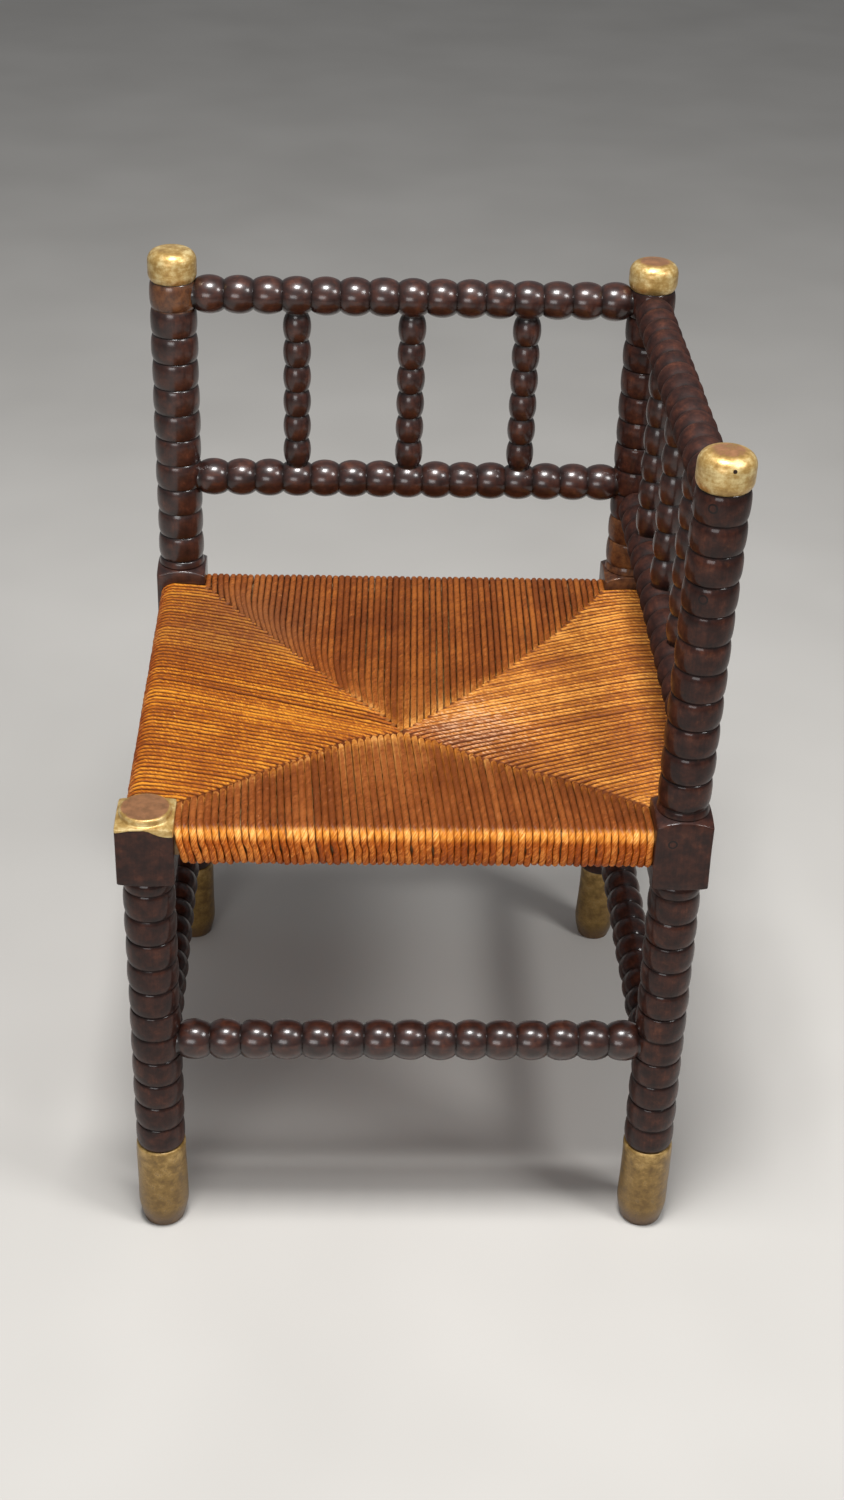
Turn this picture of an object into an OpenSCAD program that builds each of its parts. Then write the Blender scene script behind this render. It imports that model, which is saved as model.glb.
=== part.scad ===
// Corner chair with bobbin-turned posts and rails and a rush seat.
// Three posts are tall and carry the backs behind the seat and along its right side. The front left
// one is low. The origin is on the floor, midway between the four posts. X points to the right, Y to
// the back and Z up.

/* [Frame] */
// Distance between the post axes, from left to right
post_span_x = 400; // [340:1:460]
// Distance between the post axes, from front to back
post_span_y = 394; // [340:1:460]

/* [Posts] */
// Number of beads above the seat block
upper_beads = 11; // [10:1:13]
// Height of one bead above the seat block
upper_bead_h = 23; // [21:0.1:26]
// Number of beads below the seat block
lower_beads = 11; // [10:1:13]
// Height of one bead below the seat block
lower_bead_h = 23.15; // [21:0.05:26]
// Largest diameter of a bead
post_bead_d = 39.2; // [37:0.1:40]
// Diameter at the bottom of a groove between two beads
post_groove_d = 33; // [32:0.1:35]
// Height of the cut-short bead that rises into the underside of the block
lower_collar_h = 13.3; // [8:0.1:18]
// Height of the cut-short bead that stands on the block
upper_collar_h = 9; // [6:0.1:11]

/* [Seat blocks] */
// Side of the square blocks
block_w = 41; // [40.5:0.1:44]
// Height of the blocks of the tall posts, at the middle of a face
block_h = 57; // [50:0.1:66]
// Height of the block of the front left leg
low_block_h = 48; // [42:0.1:56]
// Drop of a lathe-cut shoulder from the middle of a face to the corner
shoulder_drop = 3.4; // [1:0.1:5]

/* [Finials, feet and button] */
// Height of a finial
finial_h = 26.5; // [22:0.1:32]
// Largest diameter of a finial
finial_d = 40.5; // [38:0.1:43]
// Radius of the rounding under a finial
finial_low_r = 10; // [7:0.1:11]
// Radius of the rounding round the top of a finial
finial_top_r = 10.5; // [7:0.1:11]
// Height of a foot
foot_h = 82; // [66:0.1:100]
// Largest diameter of a foot
foot_d = 40.8; // [38:0.1:42]
// Diameter of a foot where its upper rounding starts
foot_neck_d = 37; // [34:0.1:38]
// Height of the widest place of a foot
foot_belly_z = 20; // [16:0.1:26]
// Radius of the curve from the widest place of a foot to the floor
foot_curve_r = 40; // [36:0.1:60]
// Radius of the rounding at the top of a foot
foot_lip_r = 12; // [8:0.1:14]
// Diameter of the round button on the front left leg
button_d = 37.4; // [30:0.1:39]
// Height of the button above its block
button_h = 4; // [2.5:0.1:8]
// Radius of the rounding round the button
button_edge_r = 2.4; // [1:0.1:2.5]

/* [Rails and stretchers] */
// Number of beads on each turned rail and stretcher
rail_beads = 15; // [15:2:17]
// Largest diameter of a rail bead
rail_bead_d = 32.2; // [30:0.1:33]
// Diameter at the bottom of a groove between two rail beads
rail_groove_d = 24.4; // [22:0.1:26]
// Depth to which the last bead of a rail passes the widest circle of a post
rail_let_in = 1.4; // [0.5:0.1:2]
// Depth of the rear top rail below the finials
rear_top_drop = 12; // [10:0.1:20]
// Depth of the rear middle rail below the finials
rear_mid_drop = 177; // [165:0.1:190]
// Depth of the side top rail below the finials
side_top_drop = 15; // [12:0.1:22]
// Depth of the side middle rail below the finials
side_mid_drop = 191; // [180:0.1:200]
// Depth of the front stretcher below the highest groove of the leg
front_stretcher_drop = 150; // [120:0.1:200]
// Depth of the rear stretcher below the highest groove of the leg
rear_stretcher_drop = 150; // [120:0.1:200]
// Depth of the left and right stretchers below the highest groove of the leg
side_stretcher_drop = 177; // [120:0.1:200]

/* [Spindles] */
// Number of beads on a spindle
spindle_beads = 6; // [5:1:7]
// Largest diameter of a spindle bead
spindle_bead_d = 23; // [22:0.1:24]
// Diameter at the bottom of a groove between two spindle beads
spindle_groove_d = 20; // [18:0.1:21]
// Number of rail beads from one spindle to the next
spindle_step = 4; // [3:1:5]
// Depth to which the last bead of a spindle passes the widest circle of a rail
spindle_let_in = 0.5; // [0.2:0.1:1]

/* [Joints] */
// Diameter of the tenons of rails and stretchers
tenon_d = 12; // [10:0.1:12.4]
// Diameter of the tenons of spindles
spindle_tenon_d = 9; // [7:0.1:11]
// Wood left between two tenons that meet inside a post
tenon_wall = 1.2; // [0.8:0.1:2]
// Wood left between a spindle's tenon and the axis of its rail
spindle_tenon_stop = 4; // [2:0.1:6]
// Gap round a tenon in its hole
tenon_gap = 0.15; // [0.1:0.05:0.2]
// Gap round a collar in its shallow seat
seat_gap = 0.2; // [0.1:0.05:0.3]
// Gap between an end face and the floor of its hole
end_gap = 0.2; // [0.1:0.05:0.3]
// Depth to which a seat is sunk past the lowest edge of its rim
seat_sink = 0.5; // [0.3:0.1:1]

/* [Seat] */
// Width of the bars that the rush is wound over
seat_rail_w = 26; // [22:0.1:28]
// Height of the bars
seat_rail_h = 23; // [18:0.1:26]
// Radius of the rounding along the edges of the bars
seat_rail_edge_r = 5; // [2:0.1:8]
// Distance of the bars' upper face below the top of the low block
seat_rail_below = 5; // [4:0.1:10]
// Distance of the rear bar in front of the rear posts' axes
rear_seat_rail_inset = 11; // [0:0.1:12]
// Thickness of the rush over the bars
rush_t = 5; // [4:0.1:6]
// Radius of the rush's curve over the edges of the bars
rush_edge_r = 12; // [8:0.1:13]
// Depth of the valleys where two fields of rush meet
rush_valley = 2; // [0.5:0.1:2.5]
// Depth to which the seat sags where the four fields meet
rush_sag = 1.5; // [0.5:0.1:2]
// Distance of the place where the four fields meet to the left of the middle
rush_centre_left = 7; // [0:1:30]
// Distance of the place where the four fields meet in front of the middle
rush_centre_front = 65; // [0:1:80]
// Gap between the rush and the pieces next to it
rush_gap = 0.3; // [0.2:0.05:0.5]
// Thickness of the packing between the two layers of rush
packing_t = 17; // [12:0.1:18]
// Gap between the packing and the bars
packing_gap = 0.8; // [0.3:0.1:0.9]
// Width of rush between the packing and a corner that a block cuts out of the seat
packing_wall = 9; // [7:0.1:14]

/* [Hidden] */

wood_colour = "#4a2a20";
gilt_colour = "#b9953f";
bar_colour = "#a5855a";
rush_colour = "#b8702a";
packing_colour = "#c9b182";

// Smooth enough for every turned piece
$fn = 64;
// Length of a cut that starts inside a piece and leaves it
cut_length = 2 * block_w;
// How far two lengths of one turned post run into each other
overlap = 1;

// Heights
leg_top = foot_h + lower_beads * lower_bead_h;
block_z = leg_top + lower_collar_h;
block_top = block_z + block_h;
low_block_top = block_z + low_block_h;
neck_z = block_top + upper_collar_h;
finial_z = neck_z + upper_beads * upper_bead_h;
rear_top_z = finial_z - rear_top_drop;
rear_mid_z = finial_z - rear_mid_drop;
side_top_z = finial_z - side_top_drop;
side_mid_z = finial_z - side_mid_drop;
front_stretcher_z = leg_top - front_stretcher_drop;
rear_stretcher_z = leg_top - rear_stretcher_drop;
side_stretcher_z = leg_top - side_stretcher_drop;

// Distances from a post's axis
post_x = post_span_x / 2;
post_y = post_span_y / 2;
block_half = block_w / 2;
tenon_stop = tenon_d / 2 + tenon_gap + tenon_wall;
rail_bead_end = post_bead_d / 2 - rail_let_in;
rail_seat_r = rail_groove_d / 2 + seat_gap;
rail_seat_floor = sqrt(pow(post_bead_d / 2, 2) - pow(rail_seat_r, 2)) - seat_sink;

// Distances from a rail's axis
spindle_bead_end = rail_bead_d / 2 - spindle_let_in;
spindle_seat_r = spindle_groove_d / 2 + seat_gap;
spindle_seat_floor = sqrt(pow(rail_bead_d / 2, 2) - pow(spindle_seat_r, 2)) - seat_sink;

// Spacing of the spindles, from the beads of their rails
rear_spindle_pitch = spindle_step * (post_span_x - 2 * rail_bead_end) / rail_beads;
side_spindle_pitch = spindle_step * (post_span_y - 2 * rail_bead_end) / rail_beads;

// The ball that cuts the shoulders of a block. A corner is farther from the axis than the middle of
// a face by a factor of the square root of 2, and the ball falls by shoulder_drop between the two.
ball_face_z = (pow(block_half, 2) / shoulder_drop + shoulder_drop) / 2;
ball_r = sqrt(pow(ball_face_z, 2) + pow(block_half, 2));
ball_rise = ball_r - ball_face_z;

// Seat bars
seat_rail_top = low_block_top - seat_rail_below;
seat_rail_z = seat_rail_top - seat_rail_h / 2;
rear_bar_y = post_y - rear_seat_rail_inset;

// Rush: the corners lie beside the blocks, and each field reaches past its bar
rush_top = seat_rail_top + rush_t;
rush_bottom = seat_rail_top - seat_rail_h - rush_t;
rush_corner_x = post_x - block_half - rush_gap;
rush_corner_y = post_y - block_half - rush_gap;
rush_reach_side = post_x + seat_rail_w / 2 + rush_t - rush_corner_x;
rush_reach_front = post_y + seat_rail_w / 2 + rush_t - rush_corner_y;
rush_reach_rear = rear_bar_y + seat_rail_w / 2 + rush_t - rush_corner_y;
rush_centre = [-rush_centre_left, -rush_centre_front];
rush_corners = [
    [-rush_corner_x, -rush_corner_y], [rush_corner_x, -rush_corner_y],
    [rush_corner_x, rush_corner_y], [-rush_corner_x, rush_corner_y]
];
rush_outward = [[0, -1], [1, 0], [0, 1], [-1, 0]];
rush_reach = [rush_reach_front, rush_reach_side, rush_reach_rear, rush_reach_side];
// Steps along a side, from the edge to the centre, and round each curve of the edge
side_steps = 14;
field_steps = 6;
curve_steps = 5;

// One bead of a turned piece, as half of its section: an arc from groove to groove, which runs on a
// little inside the bead or the collar beyond each groove, so that they are one
module bead_section(bead_d, groove_d, length) {
    rise = (bead_d - groove_d) / 2;
    arc_r = (pow(length / 2, 2) + pow(rise, 2)) / (2 * rise);
    intersection() {
        translate([bead_d / 2 - arc_r, length / 2]) circle(arc_r, $fn = 128);
        translate([0, -overlap]) square([bead_d / 2, length + 2 * overlap]);
    }
}

// A row of beads that stand on each other
module bead_row(count, bead_d, groove_d, length) {
    for (i = [0 : count - 1])
        translate([0, i * length]) bead_section(bead_d, groove_d, length);
}

// Turned lengths above and below the block, each with a bead that the block cuts short
module upper_shaft() {
    rotate_extrude() {
        intersection() {
            translate([0, neck_z - upper_bead_h]) bead_section(post_bead_d, post_groove_d, upper_bead_h);
            translate([0, block_top - overlap]) square([post_bead_d, upper_collar_h + 2 * overlap]);
        }
        translate([0, neck_z]) bead_row(upper_beads, post_bead_d, post_groove_d, upper_bead_h);
    }
}

module lower_shaft() {
    rotate_extrude() {
        translate([0, foot_h]) bead_row(lower_beads, post_bead_d, post_groove_d, lower_bead_h);
        intersection() {
            translate([0, leg_top]) bead_section(post_bead_d, post_groove_d, lower_bead_h);
            translate([0, leg_top - overlap]) square([post_bead_d, lower_collar_h + 2 * overlap]);
        }
    }
}

// Square block with lathe-cut shoulders
module seat_block(height) {
    intersection() {
        translate([-block_half, -block_half, block_z - ball_rise])
            cube([block_w, block_w, height + 2 * ball_rise]);
        translate([0, 0, block_z + height + ball_rise - ball_r]) sphere(ball_r);
        translate([0, 0, block_z - ball_rise + ball_r]) sphere(ball_r);
    }
}

// Rounded drum on top of a tall post
module finial() {
    rotate_extrude() {
        intersection() {
            union() {
                translate([finial_d / 2 - finial_low_r, finial_z + finial_low_r - finial_undercut()])
                    circle(finial_low_r);
                translate([finial_d / 2 - finial_top_r, finial_z + finial_h - finial_top_r])
                    circle(finial_top_r);
                translate([0, finial_z + finial_low_r - finial_undercut()])
                    square([finial_d / 2, finial_h - finial_low_r + finial_undercut() - finial_top_r]);
                translate([0, finial_z]) square([finial_d / 2 - finial_top_r, finial_h]);
            }
            translate([0, finial_z - overlap]) square([finial_d, finial_h + overlap]);
        }
    }
}

// How far the lower rounding of a finial is cut off by the groove under it
function finial_undercut() =
    finial_low_r - sqrt(pow(finial_low_r, 2) - pow(post_groove_d / 2 - finial_d / 2 + finial_low_r, 2));

// Foot: a curve from the floor to the widest place, a straight taper and a rounding at the top
module foot() {
    rotate_extrude() {
        intersection() {
            translate([foot_d / 2 - foot_curve_r, foot_belly_z]) circle(foot_curve_r, $fn = 128);
            square([foot_d / 2, foot_belly_z]);
        }
        polygon([
            [0, foot_belly_z], [foot_d / 2, foot_belly_z],
            [foot_neck_d / 2, foot_h - foot_lip_h()], [0, foot_h - foot_lip_h()]
        ]);
        intersection() {
            translate([foot_neck_d / 2 - foot_lip_r, foot_h - foot_lip_h()]) circle(foot_lip_r);
            translate([0, foot_h - foot_lip_h() - overlap]) square([foot_d, foot_lip_h() + 2 * overlap]);
        }
    }
}

// Height in which the rounding at the top of a foot narrows to the groove
function foot_lip_h() =
    sqrt(pow(foot_lip_r, 2) - pow(foot_lip_r - (foot_neck_d - post_groove_d) / 2, 2));

// Low round button with a rounded edge on the front left leg
module button() {
    rotate_extrude() {
        translate([0, low_block_top - overlap])
            square([button_d / 2, button_h + overlap - button_edge_r]);
        translate([0, low_block_top - overlap])
            square([button_d / 2 - button_edge_r, button_h + overlap]);
        translate([button_d / 2 - button_edge_r, low_block_top + button_h - button_edge_r])
            circle(button_edge_r);
    }
}

// Seat and hole for the end of a turned rail, on the side that faces the angle
module rail_mortise(angle, height) {
    rotate([0, 0, angle]) translate([0, 0, height]) rotate([0, 90, 0]) {
        translate([0, 0, rail_seat_floor]) cylinder(r = rail_seat_r, h = cut_length);
        translate([0, 0, tenon_stop - end_gap]) cylinder(d = tenon_d + 2 * tenon_gap, h = cut_length);
    }
}

// Hole for the tenon of a seat bar, whose axis may pass beside the post's axis
module bar_mortise(angle, aside = 0) {
    rotate([0, 0, angle]) translate([0, aside, seat_rail_z]) rotate([0, 90, 0])
        translate([0, 0, tenon_stop - end_gap])
            cylinder(d = tenon_d + 2 * tenon_gap, h = cut_length);
}

// Tall post without its holes
module tall_post() {
    color(wood_colour) union() {
        lower_shaft();
        seat_block(block_h);
        upper_shaft();
    }
    color(gilt_colour) {
        foot();
        finial();
    }
}

module back_left_post() {
    translate([-post_x, post_y, 0]) difference() {
        tall_post();
        rail_mortise(0, rear_top_z);
        rail_mortise(0, rear_mid_z);
        rail_mortise(0, rear_stretcher_z);
        rail_mortise(270, side_stretcher_z);
        bar_mortise(0, -rear_seat_rail_inset);
        bar_mortise(270);
    }
}

module back_right_post() {
    translate([post_x, post_y, 0]) difference() {
        tall_post();
        rail_mortise(180, rear_top_z);
        rail_mortise(180, rear_mid_z);
        rail_mortise(180, rear_stretcher_z);
        rail_mortise(270, side_top_z);
        rail_mortise(270, side_mid_z);
        rail_mortise(270, side_stretcher_z);
        bar_mortise(180, rear_seat_rail_inset);
        bar_mortise(270);
    }
}

module front_right_post() {
    translate([post_x, -post_y, 0]) difference() {
        tall_post();
        rail_mortise(90, side_top_z);
        rail_mortise(90, side_mid_z);
        rail_mortise(90, side_stretcher_z);
        rail_mortise(180, front_stretcher_z);
        bar_mortise(90);
        bar_mortise(180);
    }
}

module front_left_leg() {
    translate([-post_x, -post_y, 0]) difference() {
        union() {
            color(wood_colour) union() {
                lower_shaft();
                seat_block(low_block_h);
            }
            color(gilt_colour) {
                foot();
                button();
            }
        }
        rail_mortise(0, front_stretcher_z);
        rail_mortise(90, side_stretcher_z);
        bar_mortise(0);
        bar_mortise(90);
    }
}

// Turned rail along X for posts at this distance: beads, a collar and a tenon at each end
module turned_rail(span) {
    bead_length = (span - 2 * rail_bead_end) / rail_beads;
    collar_end = span / 2 - rail_seat_floor - end_gap;
    tenon_end = span / 2 - tenon_stop;
    rotate([0, 90, 0]) rotate_extrude() {
        translate([0, -span / 2 + rail_bead_end])
            bead_row(rail_beads, rail_bead_d, rail_groove_d, bead_length);
        translate([0, -collar_end]) square([rail_groove_d / 2, 2 * collar_end]);
        translate([0, -tenon_end]) square([tenon_d / 2, 2 * tenon_end]);
    }
}

// Seats and holes for three spindles that stand on a rail along X
module spindle_mortises(pitch) {
    for (i = [-1 : 1]) translate([i * pitch, 0, 0]) {
        translate([0, 0, spindle_seat_floor]) cylinder(r = spindle_seat_r, h = cut_length);
        translate([0, 0, spindle_tenon_stop - end_gap])
            cylinder(d = spindle_tenon_d + 2 * tenon_gap, h = cut_length);
    }
}

module mid_rail(span, pitch) {
    color(wood_colour) difference() {
        turned_rail(span);
        spindle_mortises(pitch);
    }
}

module top_rail(span, pitch) {
    color(wood_colour) difference() {
        turned_rail(span);
        mirror([0, 0, 1]) spindle_mortises(pitch);
    }
}

module rear_top_rail() translate([0, post_y, rear_top_z]) top_rail(post_span_x, rear_spindle_pitch);

module rear_mid_rail() translate([0, post_y, rear_mid_z]) mid_rail(post_span_x, rear_spindle_pitch);

module side_top_rail()
    translate([post_x, 0, side_top_z]) rotate([0, 0, 90]) top_rail(post_span_y, side_spindle_pitch);

module side_mid_rail()
    translate([post_x, 0, side_mid_z]) rotate([0, 0, 90]) mid_rail(post_span_y, side_spindle_pitch);

// Turned spindle between two rails whose axes lie at these heights
module spindle(low_z, high_z) {
    bead_length = (high_z - low_z - 2 * spindle_bead_end) / spindle_beads;
    collar_z = low_z + spindle_seat_floor + end_gap;
    collar_top = high_z - spindle_seat_floor - end_gap;
    tenon_z = low_z + spindle_tenon_stop;
    tenon_top = high_z - spindle_tenon_stop;
    color(wood_colour) rotate_extrude() {
        translate([0, low_z + spindle_bead_end])
            bead_row(spindle_beads, spindle_bead_d, spindle_groove_d, bead_length);
        translate([0, collar_z]) square([spindle_groove_d / 2, collar_top - collar_z]);
        translate([0, tenon_z]) square([spindle_tenon_d / 2, tenon_top - tenon_z]);
    }
}

module rear_spindle(place) translate([place * rear_spindle_pitch, post_y, 0]) spindle(rear_mid_z, rear_top_z);

module side_spindle(place) translate([post_x, place * side_spindle_pitch, 0]) spindle(side_mid_z, side_top_z);

module rear_spindle_left() rear_spindle(-1);

module rear_spindle_middle() rear_spindle(0);

module rear_spindle_right() rear_spindle(1);

module side_spindle_front() side_spindle(-1);

module side_spindle_middle() side_spindle(0);

module side_spindle_rear() side_spindle(1);

module front_stretcher() color(wood_colour) translate([0, -post_y, front_stretcher_z]) turned_rail(post_span_x);

module rear_stretcher() color(wood_colour) translate([0, post_y, rear_stretcher_z]) turned_rail(post_span_x);

module left_stretcher()
    color(wood_colour) translate([-post_x, 0, side_stretcher_z]) rotate([0, 0, 90]) turned_rail(post_span_y);

module right_stretcher()
    color(wood_colour) translate([post_x, 0, side_stretcher_z]) rotate([0, 0, 90]) turned_rail(post_span_y);

// Bar along X under the rush, with rounded edges and a round tenon at each end
module seat_bar(span) {
    length = span - 2 * (block_half + end_gap);
    tenon_end = span / 2 - tenon_stop;
    flat_w = seat_rail_w - 2 * seat_rail_edge_r;
    flat_h = seat_rail_h - 2 * seat_rail_edge_r;
    color(bar_colour) rotate([90, 0, 90]) {
        translate([0, 0, -length / 2]) linear_extrude(length) {
            square([seat_rail_w, flat_h], center = true);
            square([flat_w, seat_rail_h], center = true);
            for (x = [-1, 1], y = [-1, 1])
                translate([x * flat_w / 2, y * flat_h / 2]) circle(seat_rail_edge_r);
        }
        translate([0, 0, -tenon_end]) cylinder(d = tenon_d, h = 2 * tenon_end);
    }
}

module front_seat_rail() translate([0, -post_y, seat_rail_z]) seat_bar(post_span_x);

module rear_seat_rail() translate([0, rear_bar_y, seat_rail_z]) seat_bar(post_span_x);

module left_seat_rail() translate([-post_x, 0, seat_rail_z]) rotate([0, 0, 90]) seat_bar(post_span_y);

module right_seat_rail() translate([post_x, 0, seat_rail_z]) rotate([0, 0, 90]) seat_bar(post_span_y);

// Half the section of a field, from the centre over the top to the middle of the edge: distance
// outwards from the corner line and height below the top, once the field itself is passed
function edge_section(reach) = [
    for (i = [0 : curve_steps])
        let (angle = 90 - 90 * i / curve_steps)
        [reach - rush_edge_r + rush_edge_r * cos(angle), rush_edge_r * (1 - sin(angle))]
];

// Depth of the field's surface at u along the side and v from the corner line to the centre: it sags
// to the centre and dips where it meets the next field
function field_dip(u, v) =
    let (seam = max(pow(abs(2 * u - 1), 4), pow(v, 6)))
    rush_valley * seam * min(1, 4 * v) + rush_sag * v * (2 - v);

// Points of one section of a field, over the top, round the edge and back below. flip is 0 or 1.
function section_points(side, u) =
    let (
        start = rush_corners[side],
        stop = rush_corners[(side + 1) % 4],
        place = start + (stop - start) * u,
        edge = edge_section(rush_reach[side]),
        top = [
            for (j = [0 : field_steps])
                let (v = 1 - j / field_steps, p = place + (rush_centre - place) * v)
                [p[0], p[1], rush_top - field_dip(u, v)]
        ],
        over = [
            for (e = edge)
                let (p = place + rush_outward[side] * e[0])
                [p[0], p[1], rush_top - e[1]]
        ],
        under = [
            for (i = [curve_steps : -1 : 0])
                let (e = edge[i], p = place + rush_outward[side] * e[0])
                [p[0], p[1], rush_bottom + e[1]]
        ],
        low = [
            for (j = [field_steps : -1 : 0])
                let (v = 1 - j / field_steps, p = place + (rush_centre - place) * v)
                [p[0], p[1], rush_bottom + field_dip(u, v)]
        ]
    )
    concat(top, over, under, low);

section_count = 2 * (field_steps + 1) + 2 * (curve_steps + 1);
first_edge = field_steps;
last_edge = section_count - 1 - field_steps;

// Index of a point. Fields that meet share the points of their seam, and all share the two centres.
function shared(j) = j <= first_edge || j >= last_edge;
function raw_index(side, i, j) = (side * (side_steps + 1) + i) * section_count + j;
function point_index(side, i, j) =
    j == 0 ? 0
    : j == section_count - 1 ? section_count - 1
    : i == side_steps && shared(j) ? raw_index((side + 1) % 4, 0, j)
    : raw_index(side, i, j);

// Two triangles between neighbouring sections, or one where they meet at a centre
function skin_faces(side, i, j) =
    let (
        a = point_index(side, i, j),
        b = point_index(side, i + 1, j),
        c = point_index(side, i + 1, j + 1),
        d = point_index(side, i, j + 1)
    )
    j == 0 ? [[a, c, d]]
    : j == section_count - 2 ? [[a, b, c]]
    : [[a, c, d], [a, b, c]];

// Triangles that close the end of a field's edge beside a block
function cap_faces(side, i) = [
    for (j = [first_edge + 1 : last_edge - 1])
        let (
            a = point_index(side, i, first_edge),
            b = point_index(side, i, j),
            c = point_index(side, i, j + 1)
        )
        i == 0 ? [a, b, c] : [a, c, b]
];

// Outside of the rush: four fields that meet at one point, above and below
module rush_form() {
    points = [
        for (side = [0 : 3], i = [0 : side_steps])
            for (p = section_points(side, i / side_steps)) p
    ];
    skin = [
        for (side = [0 : 3], i = [0 : side_steps - 1], j = [0 : section_count - 2])
            for (face = skin_faces(side, i, j)) face
    ];
    caps = [
        for (side = [0 : 3], i = [0, side_steps])
            for (face = cap_faces(side, i)) face
    ];
    polyhedron(points, concat(skin, caps), convexity = 6);
}

// Room for a bar along X inside the rush
module bar_room(span) {
    length = span - 2 * block_half + 2 * end_gap;
    width = seat_rail_w + 2 * rush_gap;
    height = seat_rail_h + 2 * rush_gap;
    cube([length, width, height], center = true);
}

module rush_seat() color(rush_colour) difference() {
    rush_form();
    translate([0, -post_y, seat_rail_z]) bar_room(post_span_x);
    translate([0, rear_bar_y, seat_rail_z]) bar_room(post_span_x);
    translate([-post_x, 0, seat_rail_z]) rotate([0, 0, 90]) bar_room(post_span_y);
    translate([post_x, 0, seat_rail_z]) rotate([0, 0, 90]) bar_room(post_span_y);
    packing_form(rush_gap, packing_gap + rush_gap);
}

// Pad between the bars, cut back at the corners. grow adds room above and below and at the corners,
// grow_out towards the bars.
module packing_form(grow, grow_out) {
    inside_x = post_x - seat_rail_w / 2 - packing_gap + grow_out;
    inside_front = post_y - seat_rail_w / 2 - packing_gap + grow_out;
    inside_rear = rear_bar_y - seat_rail_w / 2 - packing_gap + grow_out;
    short_x = rush_corner_x - packing_wall + grow;
    short_y = rush_corner_y - packing_wall + grow;
    height = packing_t + 2 * grow;
    translate([0, 0, seat_rail_z - height / 2]) {
        translate([-inside_x, -short_y, 0]) cube([2 * inside_x, 2 * short_y, height]);
        translate([-short_x, -inside_front, 0]) cube([2 * short_x, inside_front + inside_rear, height]);
    }
}

module seat_packing() color(packing_colour) packing_form(0, 0);

back_left_post();
back_right_post();
front_right_post();
front_left_leg();
rear_top_rail();
rear_mid_rail();
side_top_rail();
side_mid_rail();
rear_spindle_left();
rear_spindle_middle();
rear_spindle_right();
side_spindle_front();
side_spindle_middle();
side_spindle_rear();
front_stretcher();
rear_stretcher();
left_stretcher();
right_stretcher();
front_seat_rail();
rear_seat_rail();
left_seat_rail();
right_seat_rail();
rush_seat();
seat_packing();
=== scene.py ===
"""Looks of a bobbin-turned corner chair with a rush seat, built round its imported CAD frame.

The posts are turned shells, the rails and spindles come from one Geometry Nodes lathe, and the seat
is wound strand by strand. Lengths in this script are in millimetres until a mesh is made.
"""
import math
import random

import bpy
from mathutils import Matrix, Vector


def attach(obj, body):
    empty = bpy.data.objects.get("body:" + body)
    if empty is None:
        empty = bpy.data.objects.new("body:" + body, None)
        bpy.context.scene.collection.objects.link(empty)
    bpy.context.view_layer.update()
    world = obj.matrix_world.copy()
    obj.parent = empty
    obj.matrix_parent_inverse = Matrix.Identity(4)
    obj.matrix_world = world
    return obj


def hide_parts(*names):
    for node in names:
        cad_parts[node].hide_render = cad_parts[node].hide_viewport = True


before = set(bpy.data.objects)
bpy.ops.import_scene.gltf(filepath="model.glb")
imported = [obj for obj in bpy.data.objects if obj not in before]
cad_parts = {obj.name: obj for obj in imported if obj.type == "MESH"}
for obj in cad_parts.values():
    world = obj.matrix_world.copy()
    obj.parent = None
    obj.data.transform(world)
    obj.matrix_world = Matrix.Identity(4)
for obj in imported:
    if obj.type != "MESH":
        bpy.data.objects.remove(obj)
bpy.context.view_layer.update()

MM = 0.001

# Sizes of the chair, close to those of its CAD source and fitted to the photo
POST_X = 200.0
POST_Y = 197.0
BEAD_R = 20.0
GROOVE_R = 18.0
FOOT_TOP = 82.0
LOWER_BEAD_H = 23.15
UPPER_BEAD_H = 23.0
BLOCK_Z = 349.0
BLOCK_TOP = 408.55
LOW_BLOCK_TOP = 400.2
BLOCK_HALF = 21.3
LOW_BLOCK_HALF = 21.5
SHOULDER_DROP = 4.6
LOW_SHOULDER_DROP = 1.6
NECK_Z = 415.95
FINIAL_Z = 668.95
FINIAL_H = 26.5
BUTTON_R = 19.5
BUTTON_TOP = 405.8
RAIL_BEAD_R = 16.1
RAIL_GROOVE_R = 12.2
RAIL_END = 18.2
SPINDLE_BEAD_R = 12.0
SPINDLE_GROOVE_R = 9.3
REAR_TOP_Z = 656.95
REAR_MID_Z = 491.95
SIDE_TOP_Z = 653.95
SIDE_MID_Z = 477.95
LONG_STRETCHER_Z = 186.65
SHORT_STRETCHER_Z = 159.65
REAR_SPINDLE_STEP = 96.96
SIDE_SPINDLE_STEP = 95.36
RUSH_TOP = 397.95
RUSH_BOTTOM = 362.2
RUSH_EDGE_R = 12.0
CORD_R = 2.62
# Rings in a bead
BEAD_STEPS = 12
# Strands in half a field
STRANDS = 33
# The middle of the seat has sunk: how deep, and how far from the centre
SAG = 1.5
SAG_REACH = 210.0
# A strand bows over this run before its seam
BOW_RUN = 55.0

# The front right post has warped to the left, most at the seat: height and shift
WARP = [(0, 0), (100, -0.8), (200, -1.5), (330, -2.8), (380, -4.0), (440, -3.9), (560, -2.9), (696, -1.2)]

# Marks on the front right post: plugged peg holes, and a nail hole in its finial
PLUGS = [(189.0, -214.5, 659.7), (189.3, -215.2, 591.7), (187.6, -218.3, 390.3)]
NAIL_HOLE = (200.6, -217.2, 687.9)


def warp(z):
    """Sideways shift of the front right post at this height."""
    for (z0, shift0), (z1, shift1) in zip(WARP, WARP[1:]):
        if z <= z1:
            return shift0 + (shift1 - shift0) * (z - z0) / (z1 - z0)
    return WARP[-1][1]


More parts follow.
